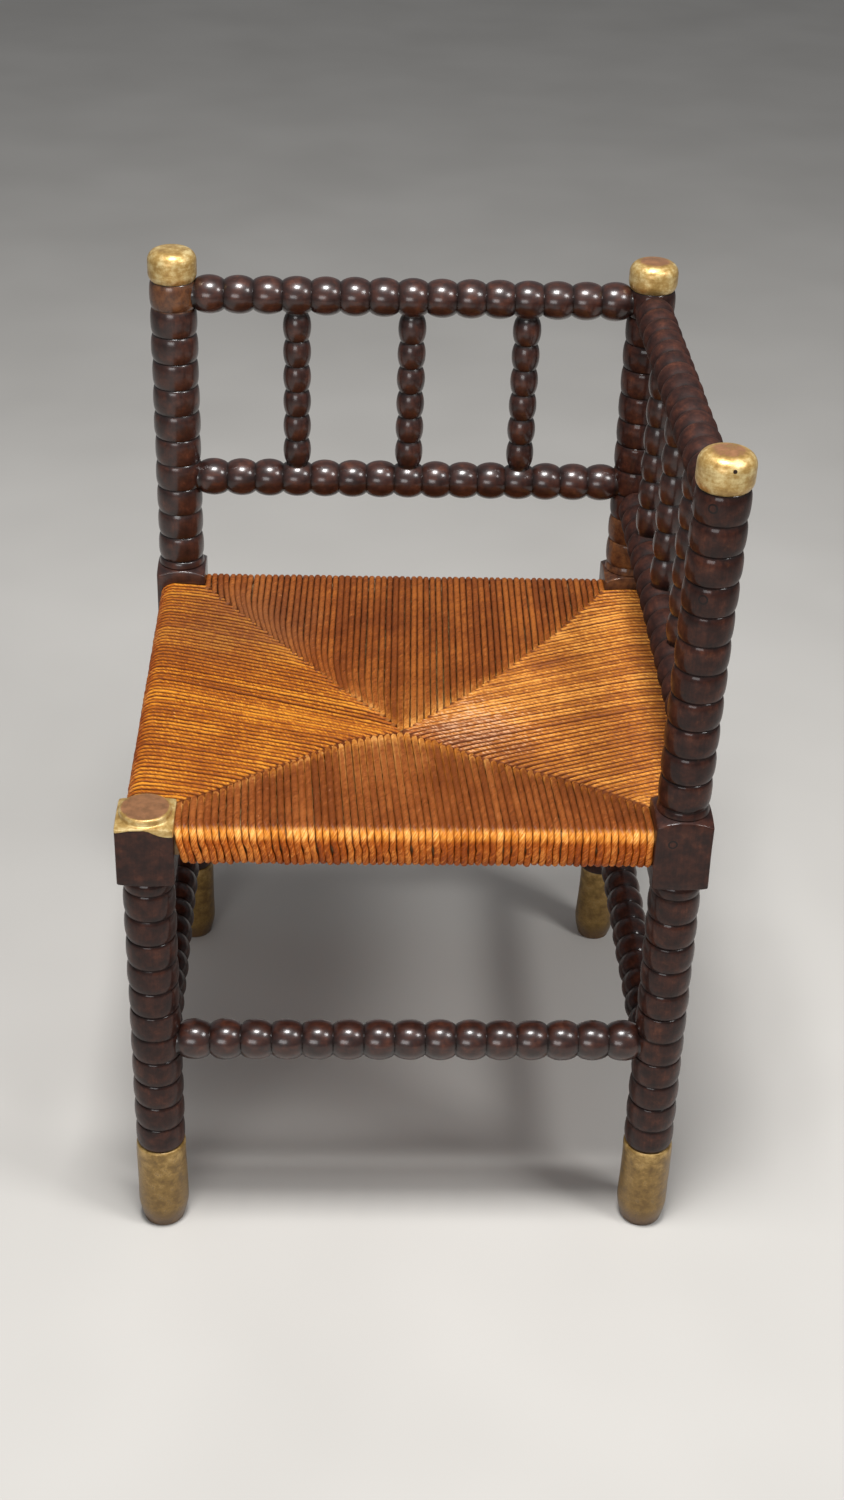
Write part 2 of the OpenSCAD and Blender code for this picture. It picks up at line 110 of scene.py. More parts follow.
def linear(code, alpha=1.0):
    """Linear colour from an sRGB hex value."""
    parts = [int(code[i:i + 2], 16) / 255 for i in (1, 3, 5)]
    return [p / 12.92 if p <= 0.04045 else ((p + 0.055) / 1.055) ** 2.4 for p in parts] + [alpha]


def set_inputs(tree, node, inputs):
    """Gives inputs of a node their values or links. A node given as an input stands for its first
    output."""
    for key, value in inputs.items():
        if isinstance(value, bpy.types.Node):
            value = value.outputs[0]
        if isinstance(value, bpy.types.NodeSocket):
            tree.links.new(value, node.inputs[key])
        else:
            node.inputs[key].default_value = value


def add(tree, kind, inputs=None, stops=None, **settings):
    """Adds one node with its settings, ramp stops and inputs."""
    node = tree.nodes.new(kind)
    for key, value in settings.items():
        setattr(node, key, value)
    for i, (place, code) in enumerate(stops or []):
        ramp = node.color_ramp.elements
        stop = ramp[i] if i < len(ramp) else ramp.new(place)
        stop.position = place
        stop.color = linear(code)
    set_inputs(tree, node, inputs or {})
    return node


def new_material(name, uniform):
    """A material with one principled shader, its uniform values and its tree for what varies."""
    material = bpy.data.materials.new(name)
    material.use_nodes = True
    shader = material.node_tree.nodes["Principled BSDF"]
    set_inputs(material.node_tree, shader, uniform)
    return material, material.node_tree, shader


# Materials


def spots(tree, places, radius, width):
    """Mask of the points this far from one of these places, in metres."""
    place, total = add(tree, "ShaderNodeTexCoord").outputs["Object"], 0.0
    for centre in places:
        apart = add(tree, "ShaderNodeVectorMath", {0: place, 1: [c * MM for c in centre]},
                    operation="DISTANCE")
        near = add(tree, "ShaderNodeMath", {0: apart.outputs["Value"], 1: radius * MM, 2: width * MM},
                   operation="COMPARE")
        total = add(tree, "ShaderNodeMath", {0: near, 1: total})
    return total


def lay_over(tree, base, *layers):
    """Lays colours over a base, each through its mask. A colour is a hex value or a node. Returns the
    colour's output."""
    for mask, colour in layers:
        colour = linear(colour) if isinstance(colour, str) else colour
        base = add(tree, "ShaderNodeMix", {0: mask, 6: base, 7: colour}, data_type="RGBA").outputs[2]
    return base


def varnished_wood(name, coat, coat_rough, specular, gloss_low, gloss_high):
    """Beech, turned, stained dark brown and varnished. The stain took in clouds, and the grooves are painted
    darkest, partly for varnish collected there and partly as painted shade; rubbed places show the amber
    wood."""
    material, tree, shader = new_material(
        name, {"Coat Weight": coat, "Coat Roughness": coat_rough, "Specular IOR Level": specular})
    lathe = add(tree, "ShaderNodeAttribute", attribute_name="turning").outputs["Vector"]
    crest, wear = (add(tree, "ShaderNodeAttribute", attribute_name=label).outputs["Fac"]
                   for label in ("crest", "wear"))
    # Grain lines 2 mm apart and some 60 mm long
    along = add(tree, "ShaderNodeMapping", {"Vector": lathe, "Scale": (500, 500, 18)})
    grain = add(tree, "ShaderNodeTexNoise", {"Vector": along, "Scale": 1, "Detail": 5, "Roughness": 0.62})
    # Clouds of stain 10 mm across, paler on the crests, where the stain is thinner and partly as painted
    # light
    cloud = add(tree, "ShaderNodeTexNoise", {"Vector": lathe, "Scale": 100, "Detail": 6, "Roughness": 0.62})
    raised = add(tree, "ShaderNodeMath", {0: crest, 1: 0.08, 2: cloud}, operation="MULTIPLY_ADD")
    level = add(tree, "ShaderNodeMath", {0: grain, 1: 0.25, 2: raised}, operation="MULTIPLY_ADD")
    stain = add(tree, "ShaderNodeValToRGB", {"Fac": level}, stops=[
        (0.52, "#1d0e0b"), (0.66, "#2a1510"), (0.8, "#3a1e15"), (0.94, "#502c1e")])
    # Painted shade with collected varnish: the grooves darken to near black
    pooled_and_shaded = add(tree, "ShaderNodeMapRange", {"Value": crest, 1: 0.0, 2: 0.5, 3: 0.8, 4: 0.0})
    # Rubbed places, 9 mm across and ragged, show the paler wood
    patches = add(tree, "ShaderNodeTexNoise", {"Vector": lathe, "Scale": 110, "Detail": 6, "Roughness": 0.68})
    rub = add(tree, "ShaderNodeMath", {0: patches, 1: wear}, operation="MULTIPLY")
    rubbed = add(tree, "ShaderNodeMapRange", {"Value": rub, 1: 0.27, 2: 0.52, 3: 0.0, 4: 0.85})
    # Plugged peg holes of the front right post
    plugs = spots(tree, PLUGS, 3.0, 0.6)
    colour = lay_over(tree, stain, (pooled_and_shaded, "#120a08"), (rubbed, "#6c4426"), (plugs, "#140b09"))
    # Hands have left smears 8 mm across in the gloss
    smears = add(tree, "ShaderNodeTexNoise", {"Vector": lathe, "Scale": 120, "Detail": 4})
    gloss = add(tree, "ShaderNodeMapRange", {"Value": smears, 1: 0.3, 2: 0.7, 3: gloss_low, 4: gloss_high})
    # Tool rings 1.2 mm apart under the varnish, and open grain
    rings = add(tree, "ShaderNodeMapping", {"Vector": lathe, "Scale": (20, 20, 820)})
    ring_noise = add(tree, "ShaderNodeTexNoise", {"Vector": rings, "Scale": 1, "Detail": 2})
    relief = add(tree, "ShaderNodeMath", {0: ring_noise, 1: grain})
    bump = add(tree, "ShaderNodeBump", {"Height": relief, "Strength": 0.3, "Distance": 0.0003})
    set_inputs(tree, shader, {"Base Color": colour, "Roughness": gloss, "Normal": bump})
    return material


def gilding(name, dull, body, bright, bare, metal_whole, coat, streaks):
    """Bronze powder in varnish over turned wood. It is bright where it is whole, brown where it is
    rubbed, and crackled in small specks. The streaks are what the brush left."""
    material, tree, shader = new_material(name, {"Coat Weight": coat, "Coat Roughness": 0.28})
    lathe = add(tree, "ShaderNodeAttribute", attribute_name="turning").outputs["Vector"]
    rubbed = add(tree, "ShaderNodeAttribute", attribute_name="wear").outputs["Fac"]
    # Brush marks 1.5 mm apart run round the piece
    brush = add(tree, "ShaderNodeMapping", {"Vector": lathe, "Scale": (90, 90, 650)})
    marks = add(tree, "ShaderNodeTexNoise", {"Vector": brush, "Scale": 1, "Detail": 3, "Roughness": 0.5})
    # Thin and thick powder in patches 8 mm across
    patches = add(tree, "ShaderNodeTexNoise", {"Vector": lathe, "Scale": 120, "Detail": 7, "Roughness": 0.68})
    streaky = add(tree, "ShaderNodeMath", {0: marks, 1: streaks, 2: patches}, operation="MULTIPLY_ADD")
    blend = add(tree, "ShaderNodeMath", {0: rubbed, 1: -0.22, 2: streaky}, operation="MULTIPLY_ADD")
    middle = 0.47 + streaks / 2
    gold = add(tree, "ShaderNodeValToRGB", {"Fac": blend}, stops=[
        (middle - 0.16, dull), (middle, body), (middle + 0.18, bright)])
    # Crackle 1.2 mm across
    specks = add(tree, "ShaderNodeTexNoise", {"Vector": lathe, "Scale": 800, "Detail": 3, "Roughness": 0.7})
    lost = add(tree, "ShaderNodeMath", {0: specks, 1: 0.6, 2: patches}, operation="MULTIPLY_ADD")
    reached = add(tree, "ShaderNodeMath", {0: rubbed, 1: 0.55, 2: lost}, operation="MULTIPLY_ADD")
    worn = add(tree, "ShaderNodeMapRange", {"Value": reached, 1: 1.05, 2: 1.3, 3: 0.0, 4: 0.9})
    ground = add(tree, "ShaderNodeValToRGB", {"Fac": patches}, stops=[(0.36, "#5f3e29"), (0.58, bare)])
    hole = spots(tree, [NAIL_HOLE], 0.0, 1.5)
    colour = lay_over(tree, gold, (worn, ground), (hole, "#2a1a10"))
    metal = add(tree, "ShaderNodeMapRange", {"Value": worn, 1: 0.0, 2: 0.9, 3: metal_whole, 4: 0.1})
    rough = add(tree, "ShaderNodeMapRange", {"Value": patches, 1: 0.3, 2: 0.7, 3: 0.34, 4: 0.5})
    height = add(tree, "ShaderNodeMath", {0: marks, 1: 0.4, 2: specks}, operation="MULTIPLY_ADD")
    bump = add(tree, "ShaderNodeBump", {"Height": height, "Strength": 0.3, "Distance": 0.0003})
    set_inputs(tree, shader, {"Base Color": colour, "Metallic": metal, "Roughness": rough, "Normal": bump})
    return material


def varnished_rush(name, top, arris, face, groove, open_at, painted_glints, gloss):
    """Twisted rush cord under amber varnish. The top, the arris and the face below it each come as a dark, a
    middle and a light colour: the arris is a painted highlight, and the face is a brighter orange than the
    top. The leaves show as streaks along the cord, and the grooves between strands are painted dark, partly
    for varnish run into them and partly as painted shade."""
    material, tree, shader = new_material(name, {"Specular IOR Level": gloss})
    tone, crown = (add(tree, "ShaderNodeAttribute", attribute_name=label).outputs["Fac"]
                   for label in ("tone", "crown"))
    strand = add(tree, "ShaderNodeAttribute", attribute_name="strand").outputs["Vector"]
    place = add(tree, "ShaderNodeTexCoord").outputs["Object"]
    # Leaf fibres run 8 mm along the cord, with its twist
    fibres = add(tree, "ShaderNodeMapping", {"Vector": strand, "Scale": (2.4, 2.4, 120)})
    fibre = add(tree, "ShaderNodeTexNoise", {"Vector": fibres, "Scale": 1, "Detail": 5, "Roughness": 0.62})
    # Stains 60 mm across with ragged edges
    stains = add(tree, "ShaderNodeTexNoise", {"Vector": place, "Scale": 15, "Detail": 6, "Roughness": 0.65})
    patchy = add(tree, "ShaderNodeMath", {0: stains, 1: 0.42, 2: 0.285}, operation="MULTIPLY_ADD")
    leaf = add(tree, "ShaderNodeMath", {0: fibre, 1: 0.7, 2: patchy}, operation="MULTIPLY_ADD")
    level = add(tree, "ShaderNodeMath", {0: tone, 1: 0.12, 2: leaf}, operation="MULTIPLY_ADD")
    zones = [add(tree, "ShaderNodeValToRGB", {"Fac": level}, stops=list(zip((0.76, 0.91, 1.04), codes)))
             for codes in (top, arris, face)]
    # The top gives way to the arris, and the arris to the face, between these heights in metres. The arris is
    # a painted highlight.
    height = add(tree, "ShaderNodeSeparateXYZ", {0: place}).outputs[2]
    below_top = add(tree, "ShaderNodeMapRange", {"Value": height, 1: 0.3968, 2: 0.3945})
    below_arris = add(tree, "ShaderNodeMapRange", {"Value": height, 1: 0.3915, 2: 0.3875})
    edge = lay_over(tree, zones[1], (below_arris, zones[2]))
    # A dull patch where the back left corner has been handled
    away = add(tree, "ShaderNodeVectorMath", {0: place, 1: (-0.150, 0.100, 0.396)}, operation="DISTANCE")
    ragged = add(tree, "ShaderNodeMath", {0: stains, 1: -0.12, 2: away.outputs["Value"]},
                 operation="MULTIPLY_ADD")
    handled = add(tree, "ShaderNodeMapRange", {"Value": ragged, 1: -0.03, 2: 0.03, 3: 0.5, 4: 0.0})
    # Painted glints: pale pink-white flecks along the fibres, to the right of the middle, stand for the sheen
    # of the varnish
    near = add(tree, "ShaderNodeVectorMath", {0: place, 1: (0.048, -0.066, 0.396)}, operation="DISTANCE")
    glint_reach = add(tree, "ShaderNodeMapRange",
                  {"Value": near.outputs["Value"], 1: 0.02, 2: 0.085, 3: painted_glints, 4: 0.0})
    reached = add(tree, "ShaderNodeMath", {0: fibre, 1: glint_reach})
    glint_mask = add(tree, "ShaderNodeMapRange", {"Value": reached, 1: 0.68, 2: 0.76, 3: 0.0, 4: 0.75})
    # Painted shade, with some varnish run in: flanks that turn away from the outward direction take the dark
    # groove colour
    groove_shade = add(tree, "ShaderNodeMapRange", {"Value": crown, 1: open_at, 2: open_at + 0.42, 3: 0.95, 4: 0.0})
    colour = lay_over(tree, zones[0], (below_top, edge), (handled, "#6e472c"), (glint_mask, "#e4b48e"),
                      (groove_shade, groove))
    rough = add(tree, "ShaderNodeMapRange", {"Value": fibre, 1: 0.3, 2: 0.7, 3: 0.24, 4: 0.5})
    matt = add(tree, "ShaderNodeMath", {0: groove_shade, 1: 0.5, 2: rough}, operation="MULTIPLY_ADD")
    bump = add(tree, "ShaderNodeBump", {"Height": fibre, "Strength": 1.0, "Distance": 0.0007})
    set_inputs(tree, shader, {"Base Color": colour, "Roughness": matt, "Normal": bump})
    return material


def sawn_wood():
    """Beech bars under the rush, sawn and left raw: pale, dry, with saw ripples across the grain."""
    material, tree, shader = new_material("sawn raw beech", {"Roughness": 0.8})
    place = add(tree, "ShaderNodeTexCoord").outputs["Object"]
    # Ripples 4 mm apart
    grain = add(tree, "ShaderNodeTexNoise", {"Vector": place, "Scale": 260, "Detail": 5})
    colour = add(tree, "ShaderNodeValToRGB", {"Fac": grain}, stops=[(0.35, "#8a6844"), (0.65, "#b8946a")])
    bump = add(tree, "ShaderNodeBump", {"Height": grain, "Strength": 0.5, "Distance": 0.0004})
    set_inputs(tree, shader, {"Base Color": colour, "Normal": bump})
    return material


def loose_rush():
    """Dry rush packed between the two layers of the seat: matt straw with crossing leaves."""
    material, tree, shader = new_material("dry packed rush", {"Roughness": 0.9})
    place = add(tree, "ShaderNodeTexCoord").outputs["Object"]
    # Leaves 2.5 mm wide show for some 17 mm before others cross them
    leaves = add(tree, "ShaderNodeMapping", {"Vector": place, "Scale": (60, 400, 200)})
    streaks = add(tree, "ShaderNodeTexNoise", {"Vector": leaves, "Scale": 1, "Detail": 4})
    colour = add(tree, "ShaderNodeValToRGB", {"Fac": streaks}, stops=[(0.35, "#97804f"), (0.65, "#c8b27c")])
    bump = add(tree, "ShaderNodeBump", {"Height": streaks, "Strength": 0.8, "Distance": 0.001})
    set_inputs(tree, shader, {"Base Color": colour, "Normal": bump})
    return material


# Turned posts


def post_angles(per_side=18):
    """Directions round a post, closer together at the corners of its square block."""
    turns = [math.atan(math.sin((-1 + 2 * i / per_side) * math.pi / 2)) for i in range(per_side)]
    return [side * math.pi / 2 + turn for side in range(4) for turn in turns]


ANGLES = post_angles()


def block_radius(angle, half=BLOCK_HALF):
    """Distance from the axis to the side of the block, with its vertical arrises a little rounded."""
    x, y, power = abs(math.cos(angle)), abs(math.sin(angle)), 30
    return half / (x ** power + y ** power) ** (1 / power)


def shoulder(radius, drop=SHOULDER_DROP):
    """Height of the lathe-cut shoulder of a block over its edge at the middle of a face. The shoulder
    is part of a ball, and the block's corners lie lower by this drop."""
    to_face = (BLOCK_HALF ** 2 / drop + drop) / 2
    ball = math.hypot(to_face, BLOCK_HALF)
    return math.sqrt(ball ** 2 - radius ** 2) - to_face


class Shell:
    """Rings of a turned piece, from the bottom up, each with a radius and a height for each angle."""

    def __init__(self, x, y, seed):
        self.x, self.y = x, y
        self.offset = random.Random(seed).uniform(0, 9)
        self.rings = []
        self.shift = warp if x > 0 > y else lambda z: 0

    def ring(self, radius, z, crest=1.0, wear=0.3):
        """Adds a ring. The radius and the height are numbers, or functions of the angle."""
        radii = [radius(a) if callable(radius) else radius for a in ANGLES]
        heights = [z(a) if callable(z) else z for a in ANGLES]
        self.rings.append((radii, heights, crest, wear))

    def build(self, name, material):
        """The closed mesh of the rings, as an object at the origin."""
        count = len(ANGLES)
        points, lathe, crests, wears = [], [], [], []
        for radii, heights, crest, wear in self.rings:
            for r, z, a in zip(radii, heights, ANGLES):
                x, y = r * math.cos(a), r * math.sin(a)
                points.append((self.x + x + self.shift(z), self.y + y, z))
                lathe.append((x, y, z + 400 * self.offset))
                crests.append(crest)
                wears.append(wear)
        faces = []
        for i in range(len(self.rings) - 1):
            for j in range(count):
                k = (j + 1) % count
                faces.append((i * count + j, i * count + k, (i + 1) * count + k, (i + 1) * count + j))
        last = (len(self.rings) - 1) * count
        for start, turn in ((0, 1), (last, -1)):
            radii, heights, crest, wear = self.rings[start // count]
            middle = len(points)
            z = sum(heights) / count
            points.append((self.x + self.shift(z), self.y, z))
            lathe.append((0, 0, z + 400 * self.offset))
            crests.append(crest)
            wears.append(wear)
            for j in range(count):
                rim = [start + (j + 1) % count, start + j][::turn]
                faces.append((middle, *rim))
        mesh = bpy.data.meshes.new(name)
        mesh.from_pydata([[c * MM for c in p] for p in points], [], faces)
        set_attribute(mesh, "turning", "FLOAT_VECTOR", [c * MM for p in lathe for c in p])
        set_attribute(mesh, "crest", "FLOAT", crests)
        set_attribute(mesh, "wear", "FLOAT", wears)
        return finish_piece(mesh, name, material)


def set_attribute(mesh, name, kind, values):
    """A value for each point, which the materials read."""
    attribute = mesh.attributes.new(name, kind, "POINT")
    attribute.data.foreach_set("vector" if kind == "FLOAT_VECTOR" else "value", values)


def finish_piece(mesh, name, material):
    """A smooth-shaded object of this mesh, with the grooves and arrises kept sharp."""
    mesh.shade_smooth()
    mesh.set_sharp_from_angle(angle=math.radians(48))
    mesh.materials.clear()
    mesh.materials.append(material)
    piece = bpy.data.objects.new(name, mesh)
    bpy.context.scene.collection.objects.link(piece)
    return piece


def add_beads(shell, start, count, length, rnd, wear, cut_top=None, cut_bottom=None):
    """Rings of the beads of a post, each nearly half an ellipse in section. A cut bead stops where the
    block swallows it."""
    for i in range(count):
        bead = BEAD_R * rnd.uniform(0.985, 1.008)
        groove = GROOVE_R + rnd.uniform(-0.25, 0.2)
        shift = rnd.uniform(-0.25, 0.25)
        for k in range(BEAD_STEPS):
            t = -math.pi / 2 + math.pi * k / BEAD_STEPS
            u = math.sin(t)
            rise = (1 - abs(u) ** 2.5) ** (1 / 1.5)
            z = start + length * (i + (u + 1) / 2) + shift * rise
            if cut_top is not None and z > cut_top or cut_bottom is not None and z < cut_bottom:
                continue
            shell.ring(groove + (bead - groove) * rise, z, rise, wear(z))
    return start + count * length


def add_shoulder(shell, side, z, facing, drop, shares, groove_crest, wear):
    """Rings of a block's shoulder, at these shares of the way from the shaft to the block's side. It
    faces up (1) or down (-1)."""
    inner = 17.6
    for share in shares:
        spread = lambda a, t=share: inner + (side(a) - 0.5 - inner) * t
        height = lambda a, f=spread: z + facing * shoulder(f(a), drop)
        shell.ring(spread, height, groove_crest + (1 - groove_crest) * share, wear)


def add_block(shell, top, wear, half=BLOCK_HALF, drop=SHOULDER_DROP):
    """Rings of a seat block: a shallow lower shoulder, sides and upper shoulder."""
    low_drop, shares = LOW_SHOULDER_DROP, (0.0, 0.35, 0.7, 0.93)
    side = lambda a: block_radius(a, half)
    edge = lambda a: side(a) - 0.35
    add_shoulder(shell, side, BLOCK_Z, -1, low_drop, shares, 0.5, wear)
    shell.ring(edge, lambda a: BLOCK_Z - shoulder(edge(a), low_drop) + 0.1, 1.0, wear + 0.25)
    low = lambda a: BLOCK_Z - shoulder(side(a), low_drop) + 0.7
    high = lambda a: top + shoulder(side(a), drop) - 0.7
    for k in range(7):
        shell.ring(side, lambda a, t=k / 6: low(a) + (high(a) - low(a)) * t, 1.0, wear)
    shell.ring(edge, lambda a: top + shoulder(edge(a), drop) - 0.1, 1.0, wear + 0.25)
    add_shoulder(shell, side, top, 1, drop, shares[::-1], 0.4, wear)


def add_lower_shaft(shell, rnd, wear):
    """Rings of the beads from the foot to the block, which swallows the last one."""
    shell.ring(GROOVE_R - 1.5, FOOT_TOP - 1.5, 0.0, 0.0)
    top = add_beads(shell, FOOT_TOP, 11, LOWER_BEAD_H, rnd, wear)
    add_beads(shell, top, 1, LOWER_BEAD_H, rnd, wear, cut_top=BLOCK_Z - 1.0)


def tall_post(name, x, y, seed, wear, material):
    """Shaft and block of a post that carries a back, from its foot to its finial."""
    rnd = random.Random(seed)
    shell = Shell(x, y, seed)
    add_lower_shaft(shell, rnd, wear)
    add_block(shell, BLOCK_TOP, wear(380) * 0.8)
    add_beads(shell, NECK_Z - UPPER_BEAD_H, 1, UPPER_BEAD_H, rnd, wear, cut_bottom=BLOCK_TOP + 1.4)
    add_beads(shell, NECK_Z, 11, UPPER_BEAD_H, rnd, wear)
    shell.ring(GROOVE_R, FINIAL_Z, 0.0, 0.0)
    shell.ring(GROOVE_R - 1.5, FINIAL_Z + 1.5, 0.0, 0.0)
    return shell.build(name, material)


def low_leg(name, x, y, seed, wear, material):
    """Shaft and block of the leg that ends at the seat."""
    rnd = random.Random(seed)
    shell = Shell(x, y, seed)
    add_lower_shaft(shell, rnd, wear)
    add_block(shell, LOW_BLOCK_TOP, wear(380) * 0.5, LOW_BLOCK_HALF, LOW_SHOULDER_DROP)
    return shell.build(name, material)


def foot(name, x, y, seed, belly, neck, material):
    """Gilded club foot: a full round bottom, a slight taper and a small rounded lip."""
    rnd = random.Random(seed)
    shell = Shell(x, y, seed)
    floor_r, belly_z, lip = belly - 3.6, 22.0, 2.6
    waves = [(rnd.uniform(0, 6.3), rnd.uniform(0.1, 0.22)) for _ in range(3)]

    def uneven(radius, z):
        return lambda a: radius + sum(
            size * math.sin(a * n + phase + z / 17) for n, (phase, size) in enumerate(waves, 1))

    # Wear is highest at the floor and falls to nothing at the lip, so the bronze is darker towards the bottom
    # and the lip is left brightest, a painted highlight on the rim
    shell.ring(floor_r * 0.5, 0.0, 0.6, 1.0)
    shell.ring(floor_r - 1.2, 0.0, 0.6, 1.0)
    shell.ring(floor_r - 0.35, 0.35, 0.8, 1.0)
    for k in range(9):
        t = math.pi / 2 * k / 8
        z = 1.2 + (belly_z - 1.2) * k / 8
        r = floor_r + (belly - floor_r) * math.sin(t)
        shell.ring(uneven(r, z), z, 1.0, 0.9 - 0.5 * k / 8)
    for k in range(1, 9):
        t = k / 9
        z = belly_z + (FOOT_TOP - lip - belly_z) * t
        shell.ring(uneven(belly + (neck - belly) * t - 0.3 * math.sin(t * math.pi), z), z, 1.0, 0.5 - 0.3 * t)
    for k in range(7):
        t = math.pi / 2 * k / 6
        shell.ring(neck - lip * 0.8 * (1 - math.cos(t)), FOOT_TOP - lip + lip * math.sin(t), 1.0, 0.0)
    shell.ring(GROOVE_R - 3, FOOT_TOP, 0.3, 0.0)
    return shell.build(name, material)


def finial(name, x, y, seed, top_wear, height, material):
    """Gilded drum on a tall post, rounded above and below, with a slightly domed top. The end grain of
    the top has lost more of its bronze on some posts than on others."""
    shell = Shell(x, y, seed)
    radius, low, top = 20.4, 10.0, 10.5
    undercut = low - math.sqrt(low ** 2 - (GROOVE_R - radius + low) ** 2)
    centre = FINIAL_Z + low - undercut
    shell.ring(GROOVE_R - 3, FINIAL_Z, 0.3, 0.0)
    start = math.asin((centre - FINIAL_Z) / low)
    for k in range(9):
        t = -start + start * k / 8
        shell.ring(radius - low + low * math.cos(t), centre + low * math.sin(t), 1.0, 0.0)
    rim = FINIAL_Z + height - top
    for k in range(15):
        t = math.pi / 2 * k / 14
        bulge = 0.6 * math.sin(t) ** 4
        shell.ring(radius - top + top * math.cos(t), rim + top * math.sin(t) - bulge, 1.0,
                   top_wear * max(0.0, k / 14 - 0.62) / 0.38)
    for r, z in ((7.0, -0.3), (4.0, -0.1), (1.5, 0.0)):
        shell.ring(r, FINIAL_Z + height + z, 1.0, top_wear)
    return shell.build(name, material)


def gilded_block_top(name, x, y, seed, material):
    """Bronze paint on the button and the shoulder of the low leg. Its hem follows the arris, and hangs
    down in a flap at the front right corner."""
    shell = Shell(x, y, seed)
    skin = 0.15
    side = lambda a: block_radius(a, LOW_BLOCK_HALF)
    edge = lambda a: side(a) - 0.3
    drop = LOW_SHOULDER_DROP
    edge_z = lambda a: LOW_BLOCK_TOP + shoulder(side(a), drop)

    def hem(a):
        ripple = 0.35 * math.sin(5 * a + 0.7) + 0.25 * math.sin(11 * a + 2.1)
        flap = max(0.0, math.cos(a + math.pi / 4 + 0.12)) ** 14
        return 1.5 + ripple + 4.4 * flap

    shell.ring(6.0, LOW_BLOCK_TOP - 7, 0.5, 0.0)
    shell.ring(lambda a: side(a) - 1.2, lambda a: edge_z(a) - 7.4, 0.5, 0.0)
    shell.ring(lambda a: side(a) - 0.4, lambda a: edge_z(a) - hem(a) - 0.1, 1.0, 0.3)
    shell.ring(lambda a: side(a) + skin, lambda a: edge_z(a) - hem(a), 1.0, 0.2)
    shell.ring(lambda a: side(a) + skin, lambda a: edge_z(a) - 0.5, 1.0, 0.1)
    shell.ring(edge, lambda a: LOW_BLOCK_TOP + shoulder(edge(a), drop) + skin, 1.0, 0.0)
    for t in (0.66, 0.33, 0.0):
        spread = lambda a, t=t: BUTTON_R + 0.3 + (side(a) - 0.6 - BUTTON_R) * t
        shell.ring(spread, lambda a, f=spread: LOW_BLOCK_TOP + shoulder(f(a), drop) + skin, 1.0, 0.15)
    shell.ring(BUTTON_R, LOW_BLOCK_TOP + shoulder(BUTTON_R, drop) + 0.5, 0.8, 0.0)
    round_over = 2.4
    for k in range(8):
        t = math.pi / 2 * k / 7
        shell.ring(BUTTON_R - round_over + round_over * math.cos(t),
                   BUTTON_TOP - round_over + round_over * math.sin(t), 1.0, 0.9 * (k / 7) ** 2)
    for r, wear in ((16.4, 1.05), (15.3, 1.25), (8.0, 1.2), (3.0, 1.2)):
        shell.ring(r, BUTTON_TOP + 0.05 * (16.4 - r) / 16.4, 1.0, wear)
    return shell.build(name, material)


# Geometry Nodes


def new_tree(name, inputs):
    """An empty geometry tree with these named inputs: name, socket type and value."""
    tree = bpy.data.node_groups.new(name, "GeometryNodeTree")
    tree.interface.new_socket("Geometry", in_out="INPUT", socket_type="NodeSocketGeometry")
    for label, kind, value in inputs:
        socket = tree.interface.new_socket(label, in_out="INPUT", socket_type="NodeSocket" + kind)
        if value is not None:
            socket.default_value = value
    tree.interface.new_socket("Geometry", in_out="OUTPUT", socket_type="NodeSocketGeometry")
    return tree, tree.nodes.new("NodeGroupInput"), tree.nodes.new("NodeGroupOutput")


def run_tree(mesh, tree, name, values):
    """The plain mesh that the tree makes of this one, with the tree's inputs set by identifier."""
    carrier = bpy.data.objects.new(name, mesh)
    bpy.context.scene.collection.objects.link(carrier)
    modifier = carrier.modifiers.new(name, "NODES")
    modifier.node_group = tree
    sockets = {s.name: s.identifier for s in tree.interface.items_tree if s.in_out == "INPUT"}
    for label, value in values.items():
        modifier[sockets[label]] = value
    depsgraph = bpy.context.evaluated_depsgraph_get()
    result = bpy.data.meshes.new_from_object(
        carrier.evaluated_get(depsgraph), preserve_all_data_layers=True, depsgraph=depsgraph)
    carrier.modifiers.clear()
    bpy.data.objects.remove(carrier)
    result.name = name
    return result


def sweep_circle(tree, curve, around):
    """Sweeps a circle along a curve. Each point of the curve carries its girth, and each point of the
    circle its place round it. Returns the mesh and the girth."""
    circle = add(tree, "GeometryNodeCurvePrimitiveCircle", {"Resolution": around, "Radius": 1.0})
    factor = add(tree, "GeometryNodeSplineParameter")
    rim = add(tree, "GeometryNodeStoreNamedAttribute",
              {"Geometry": circle, "Name": "turn", "Value": factor.outputs["Factor"]})
    girth = add(tree, "GeometryNodeInputNamedAttribute", {"Name": "girth"})
    body = add(tree, "GeometryNodeCurveToMesh",
               {"Curve": curve, "Profile Curve": rim, "Scale": girth, "Fill Caps": True})
    return body, girth


def end_tree(tree, out, body, label, coordinates, finish):
    """Ends a tree: the pattern's coordinates, a plain mesh and its material."""
    marked = add(tree, "GeometryNodeStoreNamedAttribute",
                 {"Geometry": body, "Name": label, "Value": coordinates},
                 data_type="FLOAT_VECTOR")
    real = add(tree, "GeometryNodeRealizeInstances", {"Geometry": marked})
    made = add(tree, "GeometryNodeSetMaterial", {"Geometry": real, "Material": finish})
    tree.links.new(made.outputs[0], out.inputs[0])
    return tree


